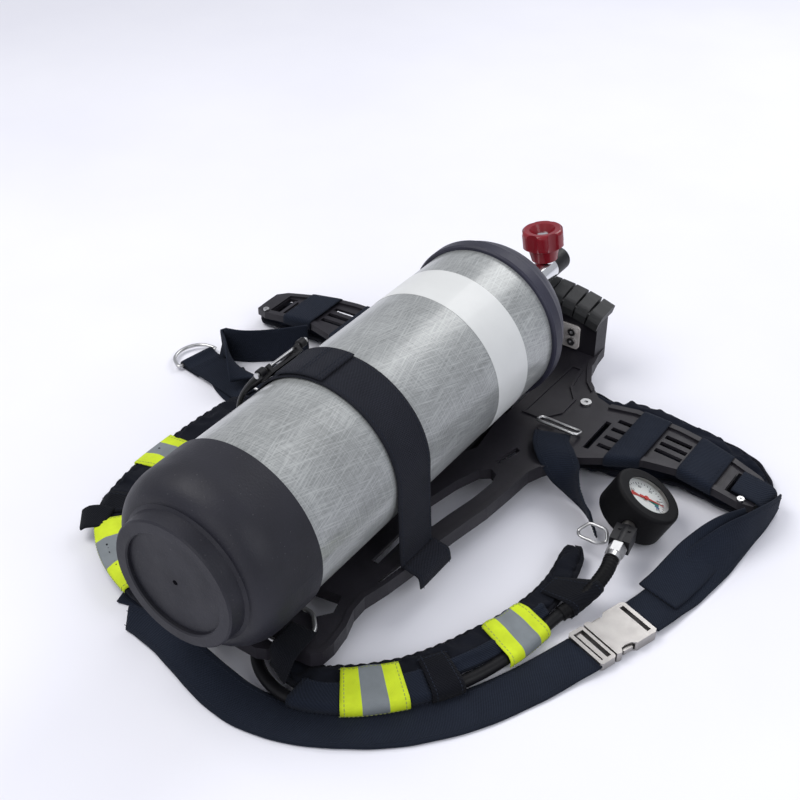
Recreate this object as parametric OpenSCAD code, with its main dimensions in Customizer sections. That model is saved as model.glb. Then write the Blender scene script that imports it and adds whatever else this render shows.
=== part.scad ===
// Air pack: a compressed-air cylinder on a moulded backplate with its harness, lying on the ground.
// Every module is drawn in the cylinder's own frame: the origin is the middle of the boot's face,
// +Y runs along the cylinder to the valve and +Z points away from the ground. seat() puts it down.

/* [Cylinder] */
// Outer diameter of the wrapped cylinder
cyl_d = 158; // [150:0.5:166]
// Station where the straight wall ends and the shoulder starts
shoulder_y = 452; // [446:1:456]
// Station of the neck's face, where the valve screws in
neck_y = 520; // [518:1:524]
// Thickness of the fibre wrap
wrap_t = 5; // [3:0.5:7]
// Thickness of the metal liner
liner_t = 3; // [2:0.5:4]
// Start and width of the label band
label_y = 350.7; // [300:0.1:370]
label_w = 51; // [30:1:60]

/* [Boot and neck guard] */
// Outer radius of the boot
boot_r = 82; // [81:0.5:83]
// Length of the boot up to its open rim
boot_len = 84; // [70:1:100]
// Outer radius of the foot ring on the boot's face
foot_r = 59.5; // [50:0.5:62]
// Radius of the recess in the boot's face
recess_r = 47.4; // [40:0.2:50]
// Outer radius of the neck guard
guard_r = 83.5; // [82.5:0.5:84]

/* [Valve] */
// Lean of the handwheel and outlet round the cylinder's axis, degrees
valve_tilt = 9; // [0:1:12]
// Station of the spindle
spindle_y = 573; // [571:1:575]
// Station of the outlet
outlet_y = 551; // [550:1:552]
// Radius of the handwheel over its lobes
wheel_r = 22; // [19:0.5:22]
// Lobes on the handwheel
wheel_lobes = 6; // [5:1:8]

/* [Backplate] */
// Height of the plate's top face below the cylinder's axis
deck_drop = 86; // [85.5:0.5:87]
// Thickness of the plate's skin
skin_t = 4; // [3:0.5:5]
// Depth of the plate's edge wall, skin included
edge_depth = 13; // [10:0.5:13.5]
// Height of the cylinder's axis above the ground
axis_height = 118; // [118:0.5:122]

/* [Lumbar wings] */
// Half the span over the wing tips
wing_tip = 300; // [296:1:302]
// How far the tips drop below the roots
wing_drop = 13; // [11:0.5:13.5]

/* [Webbing] */
// Width of the waist belt
belt_w = 41; // [36:1:42]
// Thickness of the belt
belt_t = 2.6; // [2:0.2:2.8]
// Width of the band round the cylinder
band_w = 49; // [40:1:52]

/* [Gauge] */
// Radius of the rubber cover
gauge_r = 33.5; // [31:0.5:34]
// Depth of the gauge with its cover
gauge_deep = 34; // [30:1:36]

/* [Hidden] */
$fn = 96;

pack_mid_x = -11;
pack_mid_y = 301;
cyl_r = cyl_d / 2;
floor_z = -axis_height;
deck_z = -deck_drop;
edge_z = deck_z - edge_depth;
gap = 0.2;
dome_deep = 58;
base_dome_deep = 60;
base_y = 70;

// ---- helpers -------------------------------------------------------------------------------

module seat() translate([-pack_mid_x, -pack_mid_y, axis_height]) children();
module along_y(y = 0) translate([0, y, 0]) rotate([-90, 0, 0]) children();
module along_x(x = 0) translate([x, 0, 0]) rotate([0, 90, 0]) children();
module both_sides() {
    children();
    mirror([1, 0, 0]) children();
}
module tube(r, bore, h) difference() {
    cylinder(r = r, h = h);
    translate([0, 0, -1]) cylinder(r = bore, h = h + 2);
}
function arc(cx, cy, rx, ry, from, to, n = 24) =
    [for (i = [0:n]) let(a = from + (to - from) * i / n) [cx + rx * cos(a), cy + ry * sin(a)]];
function mirrored(half) = concat(half, [for (i = [len(half) - 1:-1:0]) if (half[i][0] > 0) [-half[i][0],
    half[i][1]]]);
function unit(v) = v / norm(v);
function wrapped(pts, i) = pts[(i + len(pts)) % len(pts)];
// Outline moved in by d; the points run anticlockwise
function inset(pts, d) = [for (i = [0:len(pts) - 1])
    let(e0 = unit(pts[i] - wrapped(pts, i - 1)), e1 = unit(wrapped(pts, i + 1) - pts[i]),
        n0 = [-e0[1], e0[0]], n1 = [-e1[1], e1[0]], m = unit(n0 + n1))
    pts[i] + m * d / max(0.35, m * n0)];
// Catmull-Rom points through a route, steps to each span
function route_at(p, i, t) =
    let(n = len(p) - 1, a = p[max(i - 1, 0)], b = p[i], c = p[min(i + 1, n)], d = p[min(i + 2, n)])
    0.5 * (2 * b + (c - a) * t + (2 * a - 5 * b + 4 * c - d) * t * t + (3 * b - a - 3 * c + d) * t * t * t);
function smooth_route(p, steps) = concat(
    [for (i = [0:len(p) - 2]) for (s = [0:steps - 1]) route_at(p, i, s / steps)], [p[len(p) - 1]]);
function heading(p, i) =
    let(a = p[max(i - 1, 0)], b = p[min(i + 1, len(p) - 1)])
    unit([b[0] - a[0], b[1] - a[1], b[2] - a[2]]);
// Closed skin over rings of equal size
module skin(rings) {
    n = len(rings);
    k = len(rings[0]);
    sides = [for (i = [0:n - 2]) for (j = [0:k - 1]) let(j1 = (j + 1) % k)
        each [[i * k + j, (i + 1) * k + j1, i * k + j1], [i * k + j, (i + 1) * k + j, (i + 1) * k + j1]]];
    ends = [for (j = [1:k - 2]) each [[0, j, j + 1], [(n - 1) * k, (n - 1) * k + j + 1, (n - 1) * k + j]]];
    polyhedron(points = [for (r = rings) each r], faces = concat(sides, ends));
}
// Flat strip along a route of [x, y, z, roll, width, thickness]; roll 0 lies flat, 90 stands on edge
module strip(route, steps = 3) {
    p = smooth_route(route, steps);
    skin([for (i = [0:len(p) - 1])
        let(h = heading(p, i), side = unit(cross([0, 0, 1], h)), up = cross(h, side), q = p[i],
            c = [q[0], q[1], q[2]], s = side * cos(q[3]) + up * sin(q[3]),
                u = up * cos(q[3]) - side * sin(q[3]))
        [c - s * q[4] / 2 - u * q[5] / 2, c + s * q[4] / 2 - u * q[5] / 2,
         c + s * q[4] / 2 + u * q[5] / 2, c - s * q[4] / 2 + u * q[5] / 2]]);
}
// Round tube along a route of [x, y, z]
module round_tube(route, r, steps = 2, sides = 10) {
    p = smooth_route(route, steps);
    skin([for (i = [0:len(p) - 1])
        let(h = heading(p, i), side = unit(cross([0, 0, 1], h)), up = cross(h, side))
        [for (k = [0:sides - 1]) let(a = 360 * k / sides) p[i] + r * (side * cos(a) + up * sin(a))]]);
}
// Closed wire loop, each corner eased over the bend length
bend = 3.2;
function eased(p) = [for (i = [0:len(p) - 1])
    let(n = len(p), b = p[i], e = b + unit(p[(i + n - 1) % n] - b) * bend,
        f = b + unit(p[(i + 1) % n] - b) * bend)
    each [e, (e + 2 * b + f) / 4, f]];
module wire(points, r, k = 10) {
    p = eased(points);
    n = len(p);
    rings = [for (i = [0:n - 1])
        let(h = unit(p[(i + 1) % n] - p[(i + n - 1) % n]), side = unit(cross([0, 0, 1], h)),
            up = cross(h, side))
        each [for (j = [0:k - 1]) let(a = 360 * j / k) p[i] + r * (side * cos(a) + up * sin(a))]];
    polyhedron(points = rings, faces = [for (i = [0:n - 1]) for (j = [0:k - 1])
        let(m = (i + 1) % n, j1 = (j + 1) % k)
        each [[i * k + j, m * k + j1, i * k + j1], [i * k + j, m * k + j, m * k + j1]]]);
}

// ---- cylinder, boot and guard ---------------------------------------------------------------

// Closed pressure-vessel outline at a distance d outside the wrap
function vessel(d, mouth_r) = concat(
    [[0, base_y - base_dome_deep - d]],
    arc(0, base_y, cyl_r + d, base_dome_deep + d, -72, 0),
    arc(0, shoulder_y, cyl_r + d, dome_deep + d, 0, acos(mouth_r / (cyl_r + d))),
    [[0, shoulder_y + (dome_deep + d) * sin(acos(mouth_r / (cyl_r + d)))]]);
neck_r = 20;
bore_r = 9;
module cylinder_wrap() color("silver") along_y() rotate_extrude() difference() {
    polygon(vessel(0, neck_r + 3));
    polygon(vessel(-wrap_t, neck_r + 3));
    translate([0, shoulder_y]) square([neck_r + gap, 100]);
}
module cylinder_liner() color("gainsboro") along_y() rotate_extrude() difference() {
    union() {
        polygon(vessel(-wrap_t - 0.05, neck_r + 3));
        translate([0, shoulder_y + 40]) square([neck_r, neck_y - shoulder_y - 40]);
    }
    polygon(vessel(-wrap_t - liner_t, neck_r - 2));
    translate([0, shoulder_y]) square([bore_r, 200]);
}
module cylinder_label() color("white") along_y(label_y) tube(cyl_r + 0.25, cyl_r + 0.05, label_w);
module boot() color([0.2, 0.2, 0.23]) along_y() rotate_extrude() difference() {
    polygon(concat([[0, 4], [recess_r, 4], [recess_r, 1.2], [recess_r + 1.2, 0], [foot_r - 1.5, 0],
        [foot_r, 1.5],
        [foot_r + 1, 15], [foot_r + 4, 17]],
        arc(foot_r + 4, 47, boot_r - foot_r - 4, 30, -88, 0), [[boot_r, boot_len], [0, boot_len]]));
    polygon(concat([[0, base_y - base_dome_deep - 0.3]], arc(0, base_y, cyl_r + gap,
        base_dome_deep + 0.3, -80, 0),
        [[cyl_r + gap, boot_len + 1], [0, boot_len + 1]]));
    square([2.5, 12]);
}
guard_y = 447.5;
guard_ridge = 13;
module neck_guard() color([0.28, 0.27, 0.32]) along_y() rotate_extrude() difference() {
    polygon(concat([[70, guard_y], [guard_r - 1.5, guard_y], [guard_r, guard_y + 2], [guard_r,
        guard_y + guard_ridge],
        [guard_r - 1, guard_y + guard_ridge + 1]],
        arc(0, shoulder_y, guard_r - 1, dome_deep + 4, 14, 60), [[40, shoulder_y]]));
    polygon(concat([[0, guard_y - 1], [cyl_r + gap, guard_y - 1]],
        arc(0, shoulder_y, cyl_r + gap, dome_deep + gap, 0, 80), [[0, shoulder_y + dome_deep]]));
}

// ---- valve ----------------------------------------------------------------------------------

body_r = 13;
body_end = 578;
tower_r = 9.5;
spindle_r = 4;
outlet_drop = 22;
wheel_z = 13.3;
wheel_h = 34;
cap_r = 12.8;
cap_end = 605;
module tilted() rotate([0, -valve_tilt, 0]) children();
module on_spindle() tilted() translate([0, spindle_y, 0]) children();
module on_outlet() tilted() translate([0, outlet_y, 0]) children();
module valve_body() color("lightgray") difference() {
    tilted() union() {
        along_y(neck_y + gap) cylinder(r = 18, h = 9, $fn = 6);
        along_y(neck_y + 8) cylinder(r = body_r, h = body_end - neck_y - 8);
        translate([0, spindle_y, 0]) cylinder(r = tower_r, h = body_r + 2);
        translate([0, outlet_y, -outlet_drop]) cylinder(r = 9.8, h = outlet_drop);
    }
    on_spindle() translate([0, 0, -3]) cylinder(r = spindle_r + 0.05, h = 30);
    on_outlet() translate([0, 0, -outlet_drop - 1]) cylinder(r = 3, h = outlet_drop);
    tilted() along_y(neck_y - 1) cylinder(r = 2.5, h = 50);
}
module gland_nut() color("silver") on_spindle() translate([0, 0, body_r + 2 + 0.05]) difference() {
    cylinder(r = 8.5, h = 3.6, $fn = 6);
    translate([0, 0, -1]) cylinder(r = spindle_r + 0.05, h = 8);
}
module valve_end_cap() color([0.15, 0.15, 0.18]) difference() {
    along_y() rotate_extrude() polygon(concat([[0, body_end + gap], [cap_r, body_end + gap]],
        arc(cap_r - 3, cap_end - 3, 3, 3, 0, 90, 6), [[0, cap_end]]));
    on_spindle() cylinder(r = tower_r + gap, h = cap_r + 4);
}
module valve_spindle() color("silver") on_spindle() translate([0, 0, -2.8]) cylinder(r = spindle_r, h = 38.6);
module handwheel() color([0.75, 0.08, 0.18]) on_spindle() difference() {
    rotate_extrude() polygon(concat([[0, wheel_z + 9], [11, wheel_z + 7], [11.4, wheel_z], [13.6, wheel_z],
        [14.4, wheel_z + 4], [16.5, wheel_z + 13], [wheel_r, wheel_z + 16]],
        arc(wheel_r - 3.5, wheel_z + wheel_h - 4.5, 3.5, 4.5, 0, 90, 8),
        [[13.5, wheel_z + wheel_h - 0.6], [8, wheel_z + 24], [0, wheel_z + 24]]));
    for (i = [0:wheel_lobes - 1]) rotate(360 * (i + 0.5) / wheel_lobes) translate([wheel_r + 5.6, 0,
        wheel_z + 12])
        cylinder(r = 9.2, h = wheel_h, $fn = 48);
    translate([0, 0, wheel_z]) cylinder(r = spindle_r + 0.1, h = wheel_h);
}
module handwheel_nut() color("white") on_spindle() translate([0, 0,
    wheel_z + 24.05]) rotate_extrude() polygon(
    concat([[0, 0], [6.6, 0], [6.6, 2.4]], arc(4.6, 2.4, 2, 2, 10, 90, 5), [[0, 4.6]]));

// ---- reducer and supply outlet ----------------------------------------------------------------

nut_top = -17.8;
reducer_y = 548;
reducer_r = 17;
reducer_top = -42;
reducer_low = -80;
port_z = -61;
port_x = 8;
module coupling_nut() color([0.12, 0.12, 0.14]) on_outlet() difference() {
    rotate_extrude() polygon([[7.2, -33], [14.5, -33], [15.5, -32], [15.5, nut_top - 1], [14.5, nut_top],
        [10, nut_top], [10, -29.6], [7.2, -29.6]]);
    for (i = [0:11]) rotate(30 * i) translate([17, 0, -40]) cylinder(r = 2.6, h = 40, $fn = 24);
}
module outlet_seal() color("black") on_outlet() translate([0, 0, -outlet_drop - 1.5]) tube(8, 4.5, 1.4);
module reducer_body() color([0.3, 0.3, 0.33]) difference() {
    union() {
        translate([0, reducer_y, reducer_low]) cylinder(r = reducer_r, h = reducer_top - reducer_low);
        on_outlet() translate([0, 0, -47]) cylinder(r = 7.1, h = 47 - 29);
        on_outlet() translate([0, 0, -29.5]) cylinder(r = 9.6, h = 29.5 - outlet_drop - 1.6);
        translate([-14, reducer_y, -76]) cube([28, 570.8 - reducer_y, 22]);
        translate([port_x, 538, port_z - 8]) rotate([90, 0, 0]) cylinder(r = 6, h = 12);
    }
    on_outlet() translate([0, 0, -60]) cylinder(r = 2.5, h = 60);
    along_x(-reducer_r - 1) translate([-port_z, reducer_y, 0]) cylinder(r = 3, h = 14);
}
module reducer_cap() color([0.1, 0.1, 0.11]) difference() {
    along_x(reducer_r - 2) translate([-port_z, reducer_y, 0]) cylinder(r = 11.5, h = 19);
    translate([0, reducer_y, reducer_low - 1]) cylinder(r = reducer_r + 0.1, h = 60);
}
socket_r = 5.5;
socket_deep = 14;
outlet_x = -44;
module supply_outlet() color("silver") difference() {
    union() {
        along_x(outlet_x) translate([-port_z, reducer_y, 0]) cylinder(r = 8, h = 26.6);
        along_x(outlet_x + 18) translate([-port_z, reducer_y, 0]) cylinder(r = 11, h = 7, $fn = 6);
        along_x(outlet_x) translate([-port_z, reducer_y, 0]) cylinder(r = 9.6, h = 2);
    }
    along_x(outlet_x - 1) translate([-port_z, reducer_y, 0]) cylinder(r = socket_r, h = socket_deep + 1);
    along_x(outlet_x) translate([-port_z, reducer_y, 0]) cylinder(r = 2.5, h = 30);
    translate([0, reducer_y, reducer_low - 1]) cylinder(r = reducer_r + 0.1, h = 60);
}
module outlet_sleeve() color("gray") difference() {
    along_x(outlet_x + 2.2) translate([-port_z, reducer_y, 0]) tube(12, 8.06, 11);
    for (i = [0:9]) translate([0, reducer_y, port_z]) rotate([36 * i, 0, 0]) translate([outlet_x, 0, 13.2])
        along_x() cylinder(r = 1.9, h = 30, $fn = 24);
}
bracket_w = 94;
screw_x = 39;
screw_r = 2.4;
module bracket_holes(r) both_sides() for (z = [-74, -62]) translate([screw_x, 565, z]) rotate([-90, 0, 0])
    cylinder(r = r, h = 20);
module reducer_bracket() color([0.8, 0.78, 0.74]) difference() {
    hull() both_sides() for (z = [-79, -59]) translate([bracket_w / 2 - 4, 571, z]) rotate([-90, 0, 0])
        cylinder(r = 4, h = 2.4, $fn = 32);
    bracket_holes(screw_r + 0.1);
}
module bracket_screws() color("silver") both_sides() for (z = [-74, -62]) translate([screw_x, 0, z]) union() {
    along_y(571.1) cylinder(r = screw_r, h = 12);
    along_y(568) difference() {
        cylinder(r = 4.4, h = 3);
        translate([0, 0, -0.1]) cylinder(r = 2, h = 1.8, $fn = 6);
    }
}

// ---- backplate and bumper ---------------------------------------------------------------------

wall_y = 573.6;
wall_half = 66;
function wall_top(x) = -33 - 9 * (x / 62) * (x / 62);
// Right half of the plate's outline, from the shoulder end round to the waist end
plate_half = [[0, 46], [38, 46], [46, 50], [56, 62], [80, 65], [87, 72], [88, 86], [85, 107], [79, 125],
    [78, 142], [84, 168], [89, 200], [91, 235], [96, 266], [102, 300], [105, 335], [107, 366], [113, 382],
    [122, 396], [122, 506], [104, 512], [86, 530], [74, 553], [68, 580], [66, 598], [0, 600]];
handle_hole = [[48, 243], [68, 243], [74, 252], [77, 272], [83, 304], [86, 334], [83, 347], [75, 351],
    [66, 344], [57, 318], [49, 276]];
shoulder_hole = [[32, 106], [44, 101], [57, 102], [66, 114], [60, 134], [34, 130]];
rail_slot = [[74, 166], [78, 164], [82, 196], [78, 198]];
spine_hole = [[0, 116], [16, 116], [22, 124], [22, 206], [16, 214], [0, 214]];
band_slot = [[55, 184], [62, 184], [62, 238], [55, 238]];
strap_slot = [[79, 423], [119, 423], [119, 431], [79, 431]];
short_slot = [[72, 364], [77, 363], [83, 391], [78, 393]];
root_slot = [[113, 440], [117, 438], [117, 468], [113, 470]];
hose_slot = [[17, 434], [41, 434], [41, 490], [17, 490]];
side_holes = [handle_hole, shoulder_hole, rail_slot, band_slot, strap_slot, short_slot, root_slot];
waist_hole = [[-40, 360], [40, 360], [46, 372], [40, 412], [-40, 412], [-46, 372]];
wing_bolts = [[100, 412], [100, 492]];
deck_panel = [[52, 446], [74, 446], [88, 466], [88, 494], [74, 512], [68, 546], [54, 546]];
panel_rim = 2.8;
module plate_shape() difference() {
    polygon(mirrored(plate_half));
    both_sides() for (h = side_holes) polygon(h);
    polygon(mirrored(spine_hole));
    polygon(hose_slot);
    polygon(waist_hole);
}
module plate_rim(d) difference() {
    polygon(mirrored(plate_half));
    polygon(inset(mirrored(plate_half), d));
}
module hole_rim(h) difference() {
    polygon(inset(h, -3));
    polygon(h);
}
module backplate() color([0.19, 0.18, 0.21]) difference() {
    union() {
        translate([0, 0, deck_z - skin_t]) linear_extrude(skin_t) plate_shape();
        translate([0, 0, edge_z]) linear_extrude(edge_depth) plate_rim(4);
        translate([0, 0, deck_z - 1]) linear_extrude(3) difference() {
            plate_rim(5);
            translate([94, 380]) square([60, 180]);
            translate([-154, 380]) square([60, 180]);
            translate([-90, 560]) square([180, 60]);
            translate([-60, 30]) square([120, 40]);
        }
        translate([0, 0, edge_z + 1]) linear_extrude(edge_depth - 2) both_sides() {
            hole_rim(handle_hole);
            hole_rim(shoulder_hole);
        }
        for (y = [150, 250, 330]) translate([-54, y, edge_z + 3]) cube([24, 3, edge_depth - 4]);
        for (y = [150, 250, 330]) translate([43, y, edge_z + 3]) cube([11, 3, edge_depth - 4]);
        for (y = [424, 500, 530]) translate([-80, y, edge_z + 3]) cube([80, 3, edge_depth - 4]);
        translate([0, wall_y + 24, 0]) rotate([90, 0, 0]) linear_extrude(24) polygon(concat(
            [[-wall_half, deck_z - 2], [wall_half, deck_z - 2]],
            [for (x = [wall_half:-11:-wall_half]) [x, wall_top(x)]]));
        translate([0, 0, deck_z - 1]) linear_extrude(2.6) both_sides() difference() {
            polygon(deck_panel);
            polygon(inset(deck_panel, panel_rim));
        }
    }
    translate([0, 601, 0]) rotate([90, 0, 0]) linear_extrude(18) polygon(concat(
        [[-wall_half + 5, edge_z - 1], [wall_half - 5, edge_z - 1]],
        [for (x = [wall_half - 5:-10:-wall_half + 5]) [x, wall_top(x) - 8]]));
    bracket_holes(screw_r + 0.1);
    both_sides() translate([94, 399, deck_z - 0.9]) cube([40, 106, 10]);
    both_sides() for (p = wing_bolts) translate([p[0], p[1], edge_z]) cylinder(r = 3.1, h = 30);
    both_sides() translate([47, 74, deck_z - 6]) cylinder(r = 2.2, h = 10);
    both_sides() translate([47, 84, deck_z - 6]) cylinder(r = 2.2, h = 10);
}
bumper_ribs = 9;
bumper_pitch = 15.4;
bumper_skirt = 9;
module bottom_bumper() color([0.3, 0.31, 0.28]) {
    half = (bumper_ribs - 1) / 2;
    for (i = [-half:half]) let(x = i * bumper_pitch, lean = atan((wall_top(x + 5) - wall_top(x - 5)) / 10))
        translate([x, 0, wall_top(x) + 0.2]) rotate([0, -lean, 0]) rotate([90, 0, 90])
            translate([0, 0, -bumper_pitch / 2 + 0.8])
            linear_extrude(bumper_pitch - 1.6) polygon(concat(
                [[wall_y - 0.3, 0], [wall_y - 0.3, -bumper_skirt], [570.6, -bumper_skirt], [570, 0],
                    [571, 2.5]],
                arc(578, 5.5, 5, 3.5, 160, 110, 4), [[590, 11.5]], arc(597, 8, 4.5, 4.5, 90, 0, 5),
                    [[601.5, 0]]));
    translate([0, 600, 0]) rotate([90, 0, 0]) linear_extrude(28) polygon(concat(
        [for (x = [-wall_half:6:wall_half]) [x, wall_top(x) + 0.3]],
        [for (x = [wall_half:-6:-wall_half]) [x, wall_top(x) + 5]]));
}

// ---- lumbar wings, bands and pads ---------------------------------------------------------------

wing_skin = 3.2;
function wing_top(x) = deck_z + 2.5 - wing_drop * pow(max(0, (x - 150) / (wing_tip - 150)), 2);
wing_outline = [[95, 401], [122, 401], [140, 410], [165, 427], [190, 441], [222, 450], [250, 448], [285, 447],
    [wing_tip - 1, 452], [wing_tip, 470], [wing_tip, 487], [289, 495], [263, 501], [235, 507], [200, 510],
    [150, 510], [122, 503], [95, 503]];
wing_windows = [[131, 428, 6, 50], [190, 463, 28, 6], [190, 475, 28, 6], [190, 487, 28, 6], [269, 454,
    12, 34],
    [141, 437, 14, 6], [141, 452, 14, 6], [141, 467, 14, 6], [141, 482, 14, 6]];
wing_screw_spots = [[286, 451.4]];
tip_screw_r = 1.9;
module wing_sheet(up, down, from = 94) translate([0, 560, 0]) rotate([90, 0,
    0]) linear_extrude(180) polygon(concat(
    [for (x = [from:10.5:wing_tip + 10]) [x, wing_top(x) + down]],
    [for (x = [from + 10.5 * floor((wing_tip + 10 - from) / 10.5):-10.5:from]) [x, wing_top(x) + up]]));
module wing_prism(d) translate([0, 0, floor_z]) linear_extrude(60) polygon(inset(wing_outline, d));
module wing() color([0.2, 0.19, 0.22]) difference() {
    union() {
        intersection() {
            wing_sheet(0, -wing_skin);
            wing_prism(0);
        }
        intersection() {
            wing_sheet(2.4, -6, 123);
            difference() {
                wing_prism(0);
                wing_prism(6.5);
            }
        }
        intersection() {
            wing_sheet(2.4, -6, 123);
            wing_prism(0);
            union() {
                translate([264, 440, floor_z]) cube([4.5, 42, 60]);
                translate([wing_tip - 18, 440, floor_z]) cube([18, 70, 60]);
            }
        }
    }
    for (w = wing_windows) translate([w[0], w[1], floor_z]) cube([w[2], w[3], 60]);
    for (p = wing_bolts) translate([p[0], p[1], floor_z]) cylinder(r = 3.1, h = 60);
    for (p = wing_screw_spots) translate([p[0], p[1], floor_z]) cylinder(r = tip_screw_r + 0.1, h = 60);
}
module wing_right() wing();
module wing_left() mirror([1, 0, 0]) wing();
module wing_screws() color("silver") both_sides() {
    for (p = wing_bolts) translate([p[0], p[1], deck_z - 11]) union() {
        cylinder(r = 3, h = 13);
        translate([0, 0, 13.6]) difference() {
            cylinder(r = 5.6, h = 2.4);
            translate([0, 0, 0.9]) cylinder(r = 2.4, h = 2, $fn = 6);
        }
        translate([0, 0, 12]) cylinder(r = 3, h = 2);
    }
    for (p = wing_screw_spots) translate([p[0], p[1], wing_top(p[0]) - 5.5]) union() {
        cylinder(r = tip_screw_r, h = 9);
        translate([0, 0, 8.7]) difference() {
            cylinder(r = 3.4, h = 1.6);
            translate([0, 0, 0.6]) cylinder(r = 1.4, h = 2, $fn = 6);
        }
    }
}
module wing_band(from, to) intersection() {
    translate([from, 380, floor_z]) cube([to - from, 160, 60]);
    difference() {
        intersection() {
            wing_sheet(4.8, -8.4);
            wing_prism(-2.4);
        }
        intersection() {
            wing_sheet(2.9, -6.4);
            wing_prism(-0.5);
        }
    }
}
module wing_bands() color([0.12, 0.15, 0.22]) both_sides() {
    wing_band(157, 187);
    wing_band(221, 258);
}
pad_near = [[62, 424], [100, 420], [130, 428], [180, 441], [222, 456], [262, 455], [298, 456], [306,
    470], [305, 486]];
pad_far_right = [[299, 510], [283, 530], [259, 543], [201, 550], [145, 550], [110, 544], [62, 536]];
pad_far_left = [[298, 500], [283, 506], [259, 510], [201, 515], [145, 515], [110, 512], [62, 506]];
module hip_pad(far) color([0.11, 0.12, 0.17]) intersection() {
    translate([0, 0, floor_z + 0.1]) linear_extrude(60) polygon(concat(pad_near, far));
    translate([0, 600, 0]) rotate([90, 0, 0]) linear_extrude(240) polygon(concat(
        [[50, floor_z - 5], [320, floor_z - 5]],
        [for (x = [310:-15:130]) [x, wing_top(x) - 9.6]], [[124.5, wing_top(124) - 9.6], [124,
            edge_z - 2], [50, edge_z - 2]]));
}
module hip_pad_right() hip_pad(pad_far_right);
module hip_pad_left() mirror([1, 0, 0]) hip_pad(pad_far_left);

// ---- band round the cylinder ----------------------------------------------------------------------

band_y = 187;
band_in = cyl_r + 0.5;
band_t = 2.8;
band_out = band_in + band_t;
function band_layer(from, to, r_in, r_out) = concat(arc(0, 0, r_out, r_out, from, to, 40), arc(0, 0,
    r_in, r_in, to, from, 40));
module band_profile(points) translate([0, band_y + band_w, 0]) rotate([90, 0,
    0]) linear_extrude(band_w) polygon(points);
module cylinder_band() color([0.13, 0.14, 0.18]) {
    band_profile(band_layer(-2, 182, band_in, band_out));
    band_profile([[band_in, 1], [band_in, -30], [82, -80], [86, -82.5], [101, -86], [104, -97], [106.6,
        -96.4],
        [103.6, -84], [88, -80], [85, -78], [band_out, -30], [band_out, 1]]);
    band_profile([[-band_in, 1], [-band_out, 1], [-band_out, -30], [-68, -80], [-60.5, -84.5], [-60.5, -93.5],
        [-57.5, -93.5], [-57.5, -83], [-66.5, -77], [-band_in, -30]]);
    band_profile(band_layer(88, 126, band_out + 0.3, band_out + 0.3 + band_t));
}
lever_top = [-58, 71];
lever_dir = [-0.604, -0.797];
lever_out = [-0.797, 0.604];
function on_lever(t, u) = [lever_top[0] + lever_dir[0] * t + lever_out[0] * u,
    lever_top[1] + lever_dir[1] * t + lever_out[1] * u];
lever_y = 184;
lever_w = 62;
pin_at = [6, 0];
module lever_slab(t0, t1, u0, u1, y0, y1) translate([0, y1, 0]) rotate([90, 0, 0]) linear_extrude(y1 - y0)
    polygon([on_lever(t0, u0), on_lever(t1, u0), on_lever(t1, u1), on_lever(t0, u1)]);
module pin_hole(r, y0, h) translate([on_lever(pin_at[0], pin_at[1])[0], y0, on_lever(pin_at[0],
    pin_at[1])[1]])
    rotate([-90, 0, 0]) cylinder(r = r, h = h, $fn = 48);
lever_rod = 2.5;
lever_line = [[6, 0], [26, 0.6], [44, -0.6], [58, -4.4], [68, -9.6], [75, -15]];
function lever_knot(i, y) = let(q = on_lever(lever_line[i][0], lever_line[i][1])) [q[0], y, q[1]];
lever_near = lever_y + 3.5;
lever_far = lever_y + lever_w - 3.5;
module band_lever() color([0.12, 0.12, 0.14]) difference() {
    union() {
        for (y = [lever_near, lever_far]) round_tube([for (i = [0:5]) lever_knot(i, y)], lever_rod, 2, 12);
        for (i = [2, 5]) translate([0, lever_near, 0]) translate([lever_knot(i, 0)[0], 0, lever_knot(i,
            0)[2]])
            rotate([-90, 0, 0]) cylinder(r = i == 5 ? lever_rod + 0.6 : lever_rod,
                h = lever_far - lever_near, $fn = 24);
        for (y = [lever_y, lever_y + lever_w - 7]) pin_hole(4.2, y, 7);
        for (y = [lever_near, lever_far]) translate(lever_knot(5, y)) sphere(r = lever_rod + 0.6, $fn = 24);
    }
    pin_hole(1.56, lever_y - 1, lever_w + 2);
}
module lever_pin() color("silver") union() {
    pin_hole(1.5, lever_y - 1, lever_w + 2);
    pin_hole(2.6, lever_y - 3, 2.5);
    pin_hole(2.6, lever_y + lever_w + 0.5, 2.5);
}
module band_frame() color([0.12, 0.12, 0.14]) difference() {
    union() {
        for (y = [lever_y + 10, lever_y + lever_w - 14]) lever_slab(2, 10, -6.4, 2, y, y + 4);
        lever_slab(2, 22, -6.4, -4.3, lever_y + 10, lever_y + lever_w - 10);
    }
    pin_hole(1.56, lever_y, lever_w);
    translate([0, lever_y, 0]) rotate([-90, 0, 0]) cylinder(r = band_out + 0.2, h = lever_w);
}

// ---- shoulder straps ---------------------------------------------------------------------------

ring_wire = 2;
ring_z = deck_z + ring_wire + 2.5;
ring_loop = [[42, 100], [56, 99], [67, 88], [69, 76], [60, 62], [44, 58]];
module shoulder_rings() color("silver") both_sides() wire([for (p = ring_loop) [p[0], p[1], ring_z]],
    ring_wire);
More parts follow.
